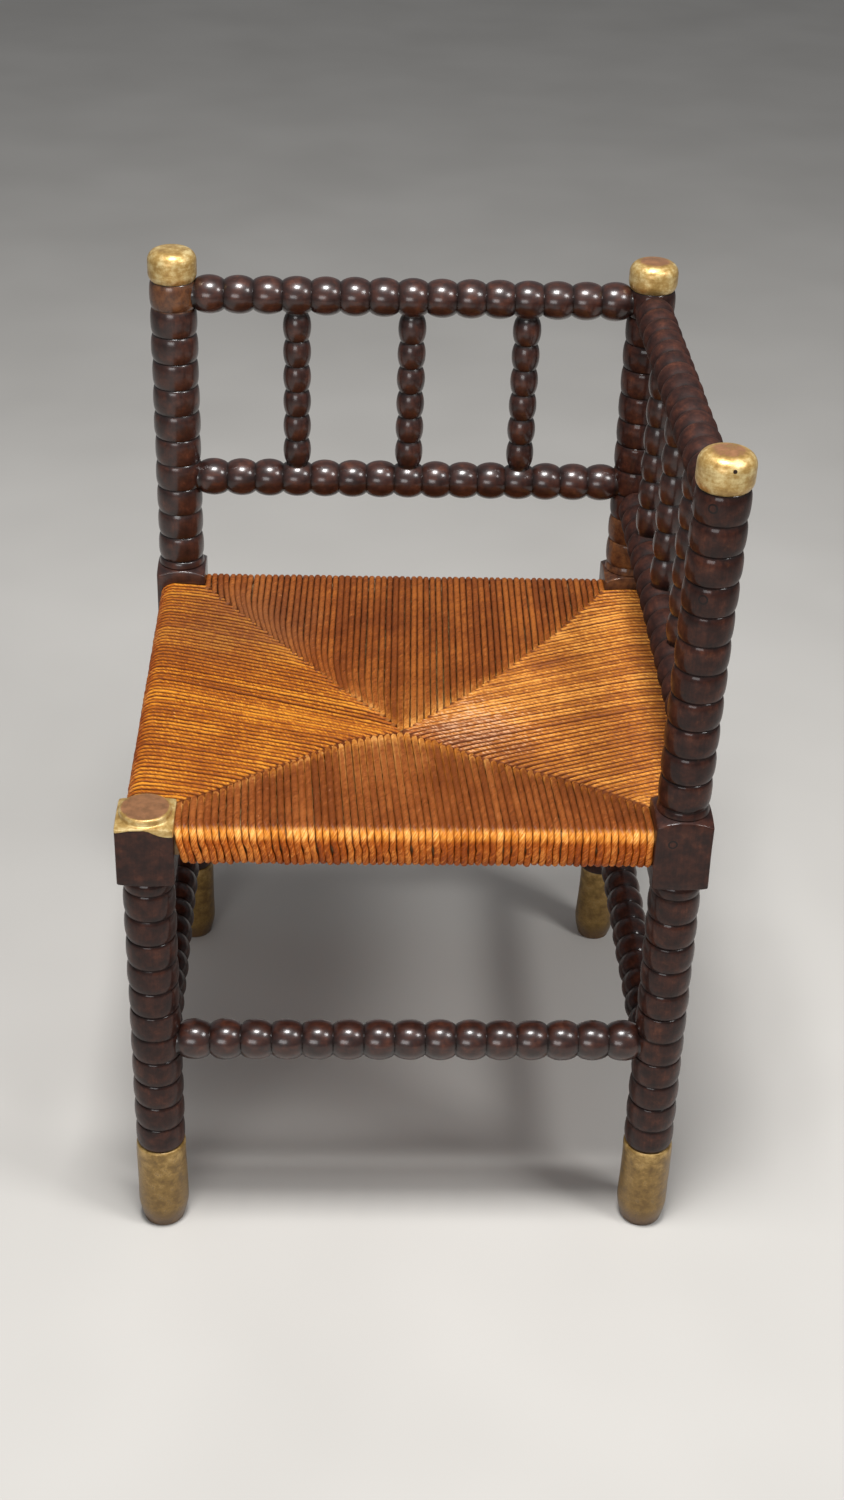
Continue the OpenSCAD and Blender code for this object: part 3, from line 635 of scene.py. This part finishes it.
def bobbin_tree():
    """A lathe for the turned bars: a line from Start to End, swept by a circle whose radius rises and
    falls once for each bead. Beads differ a little, as they do from a hand-held gouge. A collar of the
    groove's radius runs on at each end, into the post or rail."""
    tree, given, out = new_tree("bobbin turning", [
        ("Start", "Vector", (0, 0, 0)), ("End", "Vector", (1, 0, 0)), ("Beads", "Int", 15),
        ("Bead Steps", "Int", 12), ("Collar Steps", "Int", 2), ("Bead Radius", "Float", 0.016),
        ("Groove Radius", "Float", 0.012), ("Around", "Int", 48), ("Unevenness", "Float", 0.012),
        ("Seed", "Int", 1), ("Wood", "Material", None)])
    value = given.outputs
    bead_steps = add(tree, "ShaderNodeMath", {0: value["Beads"], 1: value["Bead Steps"]},
                     operation="MULTIPLY")
    collars = add(tree, "ShaderNodeMath", {0: value["Collar Steps"], 1: 2.0}, operation="MULTIPLY")
    steps = add(tree, "ShaderNodeMath", {0: bead_steps, 1: collars})
    count = add(tree, "ShaderNodeMath", {0: steps, 1: 1.0})
    line = add(tree, "GeometryNodeCurvePrimitiveLine", {"Start": value["Start"], "End": value["End"]})
    axis = add(tree, "GeometryNodeResampleCurve", {"Curve": line, "Count": count}, mode="COUNT")
    # Place along the bar, counted in beads from the first groove
    index = add(tree, "GeometryNodeInputIndex")
    past = add(tree, "ShaderNodeMath", {0: index, 1: value["Collar Steps"]}, operation="SUBTRACT")
    place = add(tree, "ShaderNodeMath", {0: past, 1: value["Bead Steps"]}, operation="DIVIDE")
    low = add(tree, "ShaderNodeMath", {0: place, 1: 0.0}, operation="MAXIMUM")
    inside = add(tree, "ShaderNodeMath", {0: low, 1: value["Beads"]}, operation="MINIMUM")
    part = add(tree, "ShaderNodeMath", {0: inside}, operation="FRACT")
    number = add(tree, "ShaderNodeMath", {0: inside}, operation="FLOOR")
    # Rise of the bead: 0 in the groove, 1 on the crest
    double = add(tree, "ShaderNodeMath", {0: part, 1: 2.0, 2: -1.0}, operation="MULTIPLY_ADD")
    square = add(tree, "ShaderNodeMath", {0: double, 1: double}, operation="MULTIPLY")
    fall = add(tree, "ShaderNodeMath", {0: 1.0, 1: square}, operation="SUBTRACT")
    rise = add(tree, "ShaderNodeMath", {0: fall, 1: 0.8}, operation="POWER")
    uneven = add(tree, "FunctionNodeRandomValue", {"ID": number, "Seed": value["Seed"], 2: -1.0, 3: 1.0})
    change = add(tree, "ShaderNodeMath", {0: uneven.outputs[1], 1: value["Unevenness"], 2: 1.0},
                 operation="MULTIPLY_ADD")
    bead = add(tree, "ShaderNodeMath", {0: value["Bead Radius"], 1: change}, operation="MULTIPLY")
    height = add(tree, "ShaderNodeMath", {0: bead, 1: value["Groove Radius"]}, operation="SUBTRACT")
    radius = add(tree, "ShaderNodeMath", {0: rise, 1: height, 2: value["Groove Radius"]},
                 operation="MULTIPLY_ADD")
    along = add(tree, "GeometryNodeSplineParameter").outputs["Length"]
    for label, source in (("crest", rise), ("girth", radius), ("along", along)):
        axis = add(tree, "GeometryNodeStoreNamedAttribute",
                   {"Geometry": axis, "Name": label, "Value": source})
    body, girth = sweep_circle(tree, axis, value["Around"])
    # Lathe coordinates for the grain
    turned = add(tree, "GeometryNodeInputNamedAttribute", {"Name": "turn"})
    angle = add(tree, "ShaderNodeMath", {0: turned, 1: 2 * math.pi}, operation="MULTIPLY")
    across, beside = (
        add(tree, "ShaderNodeMath", {0: add(tree, "ShaderNodeMath", {0: angle}, operation=way), 1: girth},
            operation="MULTIPLY") for way in ("COSINE", "SINE"))
    length = add(tree, "GeometryNodeInputNamedAttribute", {"Name": "along"})
    apart = add(tree, "ShaderNodeMath", {0: value["Seed"], 1: 0.731, 2: length}, operation="MULTIPLY_ADD")
    lathe = add(tree, "ShaderNodeCombineXYZ", {"X": across, "Y": beside, "Z": apart})
    return end_tree(tree, out, body, "turning", lathe, value["Wood"])


def cord_tree():
    """Winds rush cord along guide lines. Each guide point carries its girth, the surface's outward
    direction and the length run so far; the twist shows as a low ridge that turns round the cord."""
    tree, given, out = new_tree("rush cord", [
        ("Around", "Int", 9), ("Lay", "Float", 0.019), ("Twist Height", "Float", 0.00022),
        ("Lump Height", "Float", 0.0003), ("Lump Size", "Float", 0.009), ("Rush", "Material", None)])
    value = given.outputs
    guides = add(tree, "GeometryNodeMeshToCurve", {"Mesh": value["Geometry"]})
    cord = sweep_circle(tree, guides, value["Around"])[0]
    normal = add(tree, "GeometryNodeInputNormal")
    outward = add(tree, "GeometryNodeInputNamedAttribute", {"Name": "outward"}, data_type="FLOAT_VECTOR")
    facing = add(tree, "ShaderNodeVectorMath", {0: normal, 1: outward}, operation="DOT_PRODUCT")
    crowned = add(tree, "GeometryNodeStoreNamedAttribute",
                  {"Geometry": cord, "Name": "crown", "Value": facing.outputs["Value"]})
    turn = add(tree, "GeometryNodeInputNamedAttribute", {"Name": "turn"})
    length = add(tree, "GeometryNodeInputNamedAttribute", {"Name": "along"})
    laid = add(tree, "ShaderNodeMath", {0: length, 1: value["Lay"]}, operation="DIVIDE")
    ply = add(tree, "ShaderNodeMath", {0: turn, 1: laid}, operation="SUBTRACT")
    phase = add(tree, "ShaderNodeMath", {0: ply, 1: 4 * math.pi}, operation="MULTIPLY")
    wave = add(tree, "ShaderNodeMath", {0: phase}, operation="COSINE")
    ridge = add(tree, "ShaderNodeMath", {0: wave, 1: value["Twist Height"]}, operation="MULTIPLY")
    place = add(tree, "GeometryNodeInputPosition")
    finer = add(tree, "ShaderNodeMath", {0: 1.0, 1: value["Lump Size"]}, operation="DIVIDE")
    lumps = add(tree, "ShaderNodeTexNoise", {"Vector": place, "Scale": finer, "Detail": 2.0})
    centred = add(tree, "ShaderNodeMath", {0: lumps, 1: 0.5}, operation="SUBTRACT")
    raised = add(tree, "ShaderNodeMath", {0: centred, 1: value["Lump Height"], 2: ridge},
                 operation="MULTIPLY_ADD")
    offset = add(tree, "ShaderNodeVectorMath", {0: normal, "Scale": raised}, operation="SCALE")
    rough = add(tree, "GeometryNodeSetPosition", {"Geometry": crowned, "Offset": offset})
    # Coordinates that run along the cord and turn with its twist
    spun = add(tree, "ShaderNodeMath", {0: ply, 1: 2 * math.pi}, operation="MULTIPLY")
    across, beside = (add(tree, "ShaderNodeMath", {0: spun}, operation=way) for way in ("COSINE", "SINE"))
    tone = add(tree, "GeometryNodeInputNamedAttribute", {"Name": "tone"})
    apart = add(tree, "ShaderNodeMath", {0: tone, 1: 37.0, 2: length}, operation="MULTIPLY_ADD")
    strand = add(tree, "ShaderNodeCombineXYZ", {"X": across, "Y": beside, "Z": apart})
    return end_tree(tree, out, rough, "strand", strand, value["Rush"])


def turned_bar(name, start, end, beads, bead_r, groove_r, around, seed, tree, wood):
    """A rail, stretcher or spindle between its first and its last groove."""
    collar = 3
    start, end = Vector(start), Vector(end)
    step = (end - start) / (beads * BEAD_STEPS)
    mesh = run_tree(bpy.data.meshes.new(name), tree, name, {
        "Start": (start - step * collar) * MM, "End": (end + step * collar) * MM, "Beads": beads,
        "Bead Steps": BEAD_STEPS, "Collar Steps": collar, "Bead Radius": bead_r * MM,
        "Groove Radius": groove_r * MM, "Around": around, "Seed": seed, "Wood": wood})
    return finish_piece(mesh, name, wood)


# Rush


CENTRE = (-7.8, -69.7)
# Where two fields of strands meet, from the block to the centre
SEAMS = {
    "back_left": [(-179.2, 176.2), (-136.2, 112.2), (-91.7, 48.0), (-53.9, -7.8), (-21.7, -45.3), CENTRE],
    "back_right": [(179.2, 176.2), (131.7, 97.6), (74.8, 19.8), (31.1, -30.0), CENTRE],
    "front_left": [(-180.0, -176.2), (-151.3, -159.2), (-125.9, -137.9), (-88.5, -111.4),
                   (-49.8, -82.6), CENTRE],
    "front_right": [(174.6, -175.8), (140.2, -152.9), (111.1, -136.5), (81.3, -122.8), (51.2, -107.3),
                    (20.9, -85.7), CENTRE],
}


def along_line(points, share):
    """Point at this share of a line's length."""
    lengths = [math.dist(a, b) for a, b in zip(points, points[1:])]
    left = share * sum(lengths)
    for a, b, length in zip(points, points[1:], lengths):
        if left <= length:
            t = left / length
            return (a[0] + (b[0] - a[0]) * t, a[1] + (b[1] - a[1]) * t)
        left -= length
    return points[-1]


def across_line(points, x):
    """Point of a line at this x."""
    for a, b in zip(points, points[1:]):
        if min(a[0], b[0]) <= x <= max(a[0], b[0]):
            return (x, a[1] + (b[1] - a[1]) * (x - a[0]) / (b[0] - a[0]))
    return points[-1]


def field_slant(field, edge):
    """How far the strands lean to the right on the way down the front face, at this place."""
    if field["seams"][0] != "front_left" or field["inward"] != (0, 1):
        return 0.0
    return 6.5 * max(0.0, min(1.0, (60 - edge) / 200))


def strand_path(field, number, rnd):
    """Points of one strand, from its seam on top over the edge to its seam below. Each point is a
    place, the outward direction and a factor for the girth."""
    inx, iny = field["inward"]
    sx, sy = abs(iny), abs(inx)
    side = 0 if number < STRANDS else 1
    reach, corner = field["reach"], field["corner"][side]
    j = number if side == 0 else 2 * STRANDS - 1 - number
    share = (j + 0.5) / STRANDS
    seam_name = field["seams"][side]
    edge = (corner - share * corner) * (-1 if side == 0 else 1)
    over, hook, curl = (field[k][side] for k in ("over", "hook", "curl"))
    # The bow fades at the middle of the seat and beside the block
    hook *= (1 - share ** 4) * min(1.0, share / 0.17)
    if iny:
        seam = across_line(SEAMS[seam_name], edge + CENTRE[0] * share + hook)
    else:
        crowded = field["crowded"][side]
        seam = along_line(SEAMS[seam_name], share - crowded * share * (1 - share) ** 2)
    # In the field's own directions: a along the edge, d inwards from the outermost line
    a_seam = seam[0] * sx + seam[1] * sy
    d_seam = reach + seam[0] * inx + seam[1] * iny
    start = field["square_run"]
    # Two wobbles along the top: phase, length and size
    wave = [(rnd.uniform(0, 6.3), rnd.uniform(20, 45), rnd.uniform(0.03, 0.16)) for _ in range(2)]
    slant = field_slant(field, edge)
    lift = rnd.uniform(-0.2, 0.2)
    points = []

    def put(a, d, z, outward, girth=1.0):
        """Adds a point, given in the field's own directions."""
        points.append(((a * sx + (d - reach) * inx, a * sy + (d - reach) * iny, z), outward, girth))

    def drift(d):
        """A run that starts softly where the strand stops running square to the edge."""
        return (math.hypot(d - start, 9) + d - start) / 2

    def bow(d):
        """Bow to the side, which grows up to the seam."""
        return hook * max(0.0, 1 - max(0.0, d_seam - d) / BOW_RUN) ** 2

    def top_line(d):
        """Where the strand lies along the edge, this far in on the top."""
        t = (drift(d) - drift(RUSH_EDGE_R)) / (drift(d_seam) - drift(RUSH_EDGE_R))
        wobble = sum(s * math.sin(p + d / w) for p, w, s in wave)
        return edge + (a_seam - hook - edge) * max(0.0, t) + bow(d) + wobble

    def top_height(a, d):
        """Height of the strand's middle on the top, which sags, and dips into the seam."""
        away = math.dist((a * sx + (d - reach) * inx, a * sy + (d - reach) * iny), CENTRE)
        sag = SAG * max(0.0, 1 - away / SAG_REACH) ** 2
        left = max(0.0, d_seam - d)
        valley = 0.7 * math.exp(-(left / 4) ** 2) if over else 1.3 * math.exp(-(left / 12) ** 2)
        return RUSH_TOP - CORD_R - sag - valley + lift

    crown, floor_z, out_dir = (0, 0, 1), (0, 0, -1), (-inx, -iny, 0)
    # The end on top dives into the seam. Where it lies over the next field it curls round as it goes
    tip = top_line(d_seam)
    if over:
        ends = [(3.0, 3.0, -4.4, 0.75), (2.6, 2.8, -2.4, 0.9), (1.5, 2.0, -0.8, 0.98), (0.4, 0.9, -0.1, 1.0)]
    else:
        ends = [(0.0, 7.0, -6.5, 0.85), (0.0, 5.0, -3.4, 0.95), (0.0, 2.5, -1.0, 1.0)]
    for aside, past, drop, girth in ends:
        a = tip + math.copysign(aside, curl)
        put(a, d_seam + past, top_height(a, d_seam) + drop, (0, 0, 0.62 if over else 0.85), girth)
    # Across the top, with a point each 6 mm
    steps = max(4, int((d_seam - RUSH_EDGE_R) / 6.0))
    for k in range(steps + 1):
        d = d_seam - 1 + (RUSH_EDGE_R - d_seam + 1) * k / steps
        a = top_line(d)
        put(a, d, top_height(a, d), (0, 0, 1 - 0.034 * bow(d)), 1 - 0.02 * bow(d))
    # Round the arris, down the face and round the edge below. Strands swerve and hang unevenly
    bend_r = RUSH_EDGE_R - CORD_R
    a0 = top_line(RUSH_EDGE_R)
    swerve, sink = rnd.uniform(-1.2, 1.2), rnd.uniform(-0.8, 0.8)
    for k in range(1, 6):
        t = math.pi / 2 * k / 5
        z = RUSH_TOP - RUSH_EDGE_R + (bend_r + lift) * math.cos(t)
        put(a0 + slant * 0.3 * k / 5, RUSH_EDGE_R - bend_r * math.sin(t), z,
            tuple(o * math.sin(t) + c * math.cos(t) for o, c in zip(out_dir, crown)))
    low = RUSH_BOTTOM + RUSH_EDGE_R
    high = RUSH_TOP - RUSH_EDGE_R
    put(a0 + slant * 0.55 + swerve, RUSH_EDGE_R - bend_r, (low + high) / 2, out_dir)
    for k in range(5):
        t = math.pi / 2 * k / 4
        put(a0 + slant * (0.75 + 0.25 * k / 4), RUSH_EDGE_R - bend_r * math.cos(t),
            low - bend_r * math.sin(t) + sink,
            tuple(o * math.cos(t) + c * math.sin(t) for o, c in zip(out_dir, floor_z)))
    # Under the seat to the seam there, with a point each 16 mm
    under = max(3, int((d_seam - RUSH_EDGE_R) / 16))
    for k in range(1, under + 1):
        t = k / under
        d = RUSH_EDGE_R + (d_seam - 1 - RUSH_EDGE_R) * t
        a = edge + (a_seam - edge) * t + slant * (1 - t)
        rise = SAG * max(0.0, 1 - (d_seam - d) / SAG_REACH) ** 2 * share
        put(a, d, RUSH_BOTTOM + CORD_R + rise + (1.0 if k == under else 0.0), floor_z)
    put(a_seam, d_seam + 3, RUSH_BOTTOM + CORD_R + 5, floor_z, 0.7)
    return points


# For each field: its seams; its inward direction; how far its edge lies from the origin; half the
# length between the blocks; and for each seam, whether the strands lie over the next field's there, how
# far they bow before it, which way their ends curl and how crowded they are at its corner. Strands of
# the side fields leave the edge square and lean to the front after a run
FIELDS = {
    "front": {"seams": ("front_left", "front_right"), "inward": (0, 1),
              "reach": 215.0, "corner": (179.2, 174.6), "over": (False, False), "hook": (0, 0),
              "curl": (1, -1), "square_run": 0, "girth": 2.78},
    "right": {"seams": ("front_right", "back_right"), "inward": (-1, 0),
              "reach": 218.0, "corner": (176.0, 176.2), "over": (True, True), "hook": (0, 0),
              "curl": (-1, -1), "square_run": 24, "girth": 2.62, "crowded": (0.42, 0)},
    "rear": {"seams": ("back_left", "back_right"), "inward": (0, -1),
             "reach": 204.0, "corner": (179.2, 179.2), "over": (True, False), "hook": (7.5, 0),
             "curl": (-1, 1), "square_run": 0, "girth": 2.78},
    "left": {"seams": ("front_left", "back_left"), "inward": (1, 0),
             "reach": 218.0, "corner": (176.2, 176.2), "over": (True, False), "hook": (0, 0),
             "curl": (-1, 1), "square_run": 16, "girth": 2.62, "crowded": (0, 0)},
}


def rush_field(name, field, seed, tree, material):
    """All the strands of one field as a piece."""
    rnd = random.Random(seed)
    points, edges, girths, tones, lengths, outwards = [], [], [], [], [], []
    for number in range(2 * STRANDS):
        path = strand_path(field, number, rnd)
        tone = rnd.random()
        thick = field["girth"] * rnd.uniform(0.94, 1.06)
        # The twist of each strand starts elsewhere
        start = rnd.uniform(0, 90)
        run = 0.0
        for k, (place, outward, girth) in enumerate(path):
            if k:
                run += math.dist(place, path[k - 1][0])
                edges.append((len(points) - 1, len(points)))
            points.append([c * MM for c in place])
            girths.append(thick * girth * rnd.uniform(0.97, 1.03) * MM)
            tones.append(tone)
            lengths.append((start + run) * MM)
            outwards.extend(outward)
    mesh = bpy.data.meshes.new(name)
    mesh.from_pydata(points, edges, [])
    set_attribute(mesh, "girth", "FLOAT", girths)
    set_attribute(mesh, "tone", "FLOAT", tones)
    set_attribute(mesh, "along", "FLOAT", lengths)
    set_attribute(mesh, "outward", "FLOAT_VECTOR", outwards)
    wound = run_tree(mesh, tree, name, {"Rush": material})
    return finish_piece(wound, name, material)


# Stage, light and camera


def build_stage():
    """Plain pale floor and an even grey surround."""
    mesh = bpy.data.meshes.new("floor")
    half = 12.0
    corners = [(x * half, y * half, 0) for x, y in ((-1, -1), (1, -1), (1, 1), (-1, 1))]
    mesh.from_pydata(corners, [], [(0, 1, 2, 3)])
    material, tree, shader = new_material("pale floor", {"Roughness": 0.9})
    place = add(tree, "ShaderNodeTexCoord").outputs["Object"]
    mottle = add(tree, "ShaderNodeTexNoise", {"Vector": place, "Scale": 3, "Detail": 2})
    colour = add(tree, "ShaderNodeValToRGB", {"Fac": mottle}, stops=[(0.3, "#b4b1ac"), (0.7, "#bcb9b4")])
    set_inputs(tree, shader, {"Base Color": colour})
    mesh.materials.append(material)
    floor = bpy.data.objects.new("floor", mesh)
    bpy.context.scene.collection.objects.link(floor)
    world = bpy.data.worlds.new("surround")
    world.use_nodes = True
    back = world.node_tree.nodes["Background"]
    back.inputs["Color"].default_value = (0.55, 0.56, 0.58, 1)
    back.inputs["Strength"].default_value = 0.4
    bpy.context.scene.world = world


def soft_box(name, place, target, width, height, power):
    """A rectangular lamp that faces the target."""
    lamp = bpy.data.lights.new(name, "AREA")
    lamp.shape = "RECTANGLE"
    lamp.size = width
    lamp.size_y = height
    lamp.energy = power
    holder = bpy.data.objects.new(name, lamp)
    holder.location = place
    holder.rotation_euler = (Vector(target) - Vector(place)).to_track_quat("-Z", "Y").to_euler()
    bpy.context.scene.collection.objects.link(holder)


def aim_camera():
    """The photo's view: a long-side field of 40 degrees, from above and slightly to the left."""
    pitch, yaw, roll = (math.radians(v) for v in (31.839, 2.846, 2.081))
    ahead = Vector((math.sin(yaw) * math.cos(pitch), math.cos(yaw) * math.cos(pitch), -math.sin(pitch)))
    right = Vector((math.cos(yaw), -math.sin(yaw), 0))
    up = right.cross(ahead)
    turned_right = math.cos(roll) * right + math.sin(roll) * up
    turned_up = math.cos(roll) * up - math.sin(roll) * right
    camera = bpy.data.cameras.new("camera")
    camera.lens = 48.946
    camera.clip_start = 0.05
    holder = bpy.data.objects.new("camera", camera)
    matrix = Matrix((turned_right, turned_up, -ahead)).transposed().to_4x4()
    matrix.translation = Vector((-60.8, -1448.6, 1235.3)) * MM
    holder.matrix_world = matrix
    bpy.context.scene.collection.objects.link(holder)
    bpy.context.scene.camera = holder


# Assembly


def stand_for(piece, slot, *nodes):
    """Says what a finished piece stands for."""
    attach(piece, "root")
    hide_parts(*nodes)


def build_posts(glossy, worn):
    """The posts, and the gilding on their feet and tops. The back right foot and finial are smaller."""
    bright = gilding("bronze paint, whole", "#94723a", "#b29052", "#d6c088", "#7c5236", 0.5, 0.35, 0.25)
    dull = gilding("bronze paint, rubbed by the floor", "#6a5026", "#8a6c36", "#b4945a", "#46301a",
                   0.4, 0.2, 0.1)
    # Axis, seed, how worn the wood is at each height, and how rubbed the top of the finial is
    posts = {
        "back_left_post": (-POST_X, POST_Y, 11, lambda z: 0.42 + 0.4 * (z > 645), 0.2),
        "back_right_post": (POST_X, POST_Y, 23, lambda z: 0.85 if 360 < z < 462 else 0.42, 1.1),
        "front_right_post": (POST_X, -POST_Y, 37, lambda z: 0.46, 0.9),
        "front_left_leg": (-POST_X, -POST_Y, 51, lambda z: 0.36, 0.0),
    }
    for name, (x, y, seed, wear, top_wear) in posts.items():
        make = low_leg if name == "front_left_leg" else tall_post
        wood = glossy if name == "back_left_post" else worn
        stand_for(make(name + "_turning", x, y, seed, wear, wood), "turned_wood", name)
        belly, neck = (18.8, 17.2) if name == "back_right_post" else (20.6, 20.1)
        stand_for(foot(name + "_gilded_foot", x, y, seed + 1, belly, neck, dull), "gilding", name)
        if make is tall_post:
            height = FINIAL_H - 2.4 if name == "back_right_post" else FINIAL_H
            top = finial(name + "_gilded_finial", x, y, seed + 2, top_wear, height, bright)
            stand_for(top, "gilding", name)
    top = gilded_block_top("front_left_leg_gilded_top", -POST_X, -POST_Y, 77, bright)
    stand_for(top, "gilding", "front_left_leg")


def build_bars(wood, worn):
    """Rails, stretchers and spindles, each between the grooves that meet the posts or rails."""
    tree = bobbin_tree()
    in_x, in_y = POST_X - RAIL_END, POST_Y - RAIL_END
    rails = {
        "rear_top_rail": ((-in_x, POST_Y), (in_x, POST_Y), REAR_TOP_Z),
        "rear_mid_rail": ((-in_x, POST_Y), (in_x, POST_Y), REAR_MID_Z),
        "side_top_rail": ((POST_X + warp(SIDE_TOP_Z), -in_y), (POST_X, in_y), SIDE_TOP_Z),
        "side_mid_rail": ((POST_X + warp(SIDE_MID_Z), -in_y), (POST_X, in_y), SIDE_MID_Z),
        "front_stretcher": ((-in_x, -POST_Y), (in_x, -POST_Y), LONG_STRETCHER_Z),
        "rear_stretcher": ((-in_x, POST_Y), (in_x, POST_Y), LONG_STRETCHER_Z),
        "left_stretcher": ((-POST_X, -in_y), (-POST_X, in_y), SHORT_STRETCHER_Z),
        "right_stretcher": ((POST_X + warp(SHORT_STRETCHER_Z), -in_y), (POST_X, in_y), SHORT_STRETCHER_Z),
    }
    dull = varnished_wood("dark stained beech, varnish worn dull", 0.0, 0.2, 0.2, 0.6, 0.75)
    for seed, (name, (start, end, z)) in enumerate(rails.items(), 1):
        finish = dull if name.startswith("side_") else worn if name.startswith(("left_", "right_")) else wood
        piece = turned_bar(name + "_turning", (*start, z), (*end, z), 15, RAIL_BEAD_R, RAIL_GROOVE_R, 48,
                           seed, tree, finish)
        stand_for(piece, "turned_wood", name)
    end = RAIL_BEAD_R - 0.5
    spindles = {}
    for k, spot in enumerate(("left", "middle", "right"), -1):
        spindles["rear_spindle_" + spot] = (k * REAR_SPINDLE_STEP, POST_Y, REAR_MID_Z, REAR_TOP_Z)
    for k, spot in enumerate(("front", "middle", "rear"), -1):
        spindles["side_spindle_" + spot] = (POST_X, k * SIDE_SPINDLE_STEP, SIDE_MID_Z, SIDE_TOP_Z)
    for seed, (name, (x, y, low, high)) in enumerate(spindles.items(), 31):
        piece = turned_bar(name + "_turning", (x, y, low + end), (x, y, high - end), 6, SPINDLE_BEAD_R,
                           SPINDLE_GROOVE_R, 36, seed, tree, wood)
        stand_for(piece, "turned_wood", name)


def build_seat():
    """The four fields of rush, which differ in colour, partly as painted light for how the strands of each
    field lie to the light.
    """
    tree = cord_tree()
    # The arris colours are a painted highlight
    arris = ("#a85c14", "#cf8430", "#ecb064")
    face = ("#742e04", "#a8500c", "#d68438")
    # For each field: a label for its look, the top's colours, the arris's colours (a painted highlight), the
    # groove's colour (painted shade), how open the grooves are, the painted glints and the gloss
    finishes = {
        "front": ("browned", ("#5a2a0b", "#743a14", "#8c4e21"), arris, "#4e1e06", 0.2, 0.0, 0.2),
        "right": ("pale golden", ("#7e400b", "#b86c14", "#ea9f42"), face, "#5a2804", 0.58, 0.2, 0.32),
        "rear": ("reddish", ("#5c2a0a", "#7a3d13", "#9a5720"), arris, "#401703", 0.32, 0.0, 0.2),
        "left": ("golden", ("#7e3e08", "#b2620c", "#de9026"), face, "#4e2002", 0.62, 0.0, 0.2),
    }
    for seed, (name, field) in enumerate(FIELDS.items(), 5):
        field_look, top, edge, *rest = finishes[name]
        rush = varnished_rush("amber varnished rush, " + field_look, top, edge, face, *rest)
        piece = rush_field("rush_seat_" + name + "_field", field, seed, tree, rush)
        stand_for(piece, "rush", "rush_seat")


def dress_hidden_nodes():
    """The bars and the packing inside the rush keep their CAD shape."""
    raw, straw = sawn_wood(), loose_rush()
    for name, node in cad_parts.items():
        if name.endswith("_seat_rail") or name == "seat_packing":
            material = raw if name.endswith("_seat_rail") else straw
            node.data.materials.clear()
            node.data.materials.append(material)


aim_camera()
build_stage()
soft_box("key lamp", (-0.1, -0.5, 2.6), (0, 0, 0.3), 0.55, 0.55, 72)
soft_box("side lamp", (1.3, -0.9, 2.1), (0, 0, 0.3), 0.5, 0.5, 22)
soft_box("front lamp", (-0.8, -2.4, 1.1), (0, 0, 0.4), 1.3, 0.8, 20)
bpy.context.scene.view_settings.view_transform = "Standard"

glossy_wood = varnished_wood("dark stained varnished beech", 0.8, 0.2, 0.22, 0.34, 0.5)
worn_wood = varnished_wood("dark stained beech, varnish thin", 0.4, 0.12, 0.1, 0.45, 0.6)
build_posts(glossy_wood, worn_wood)
build_bars(glossy_wood, worn_wood)
build_seat()
dress_hidden_nodes()
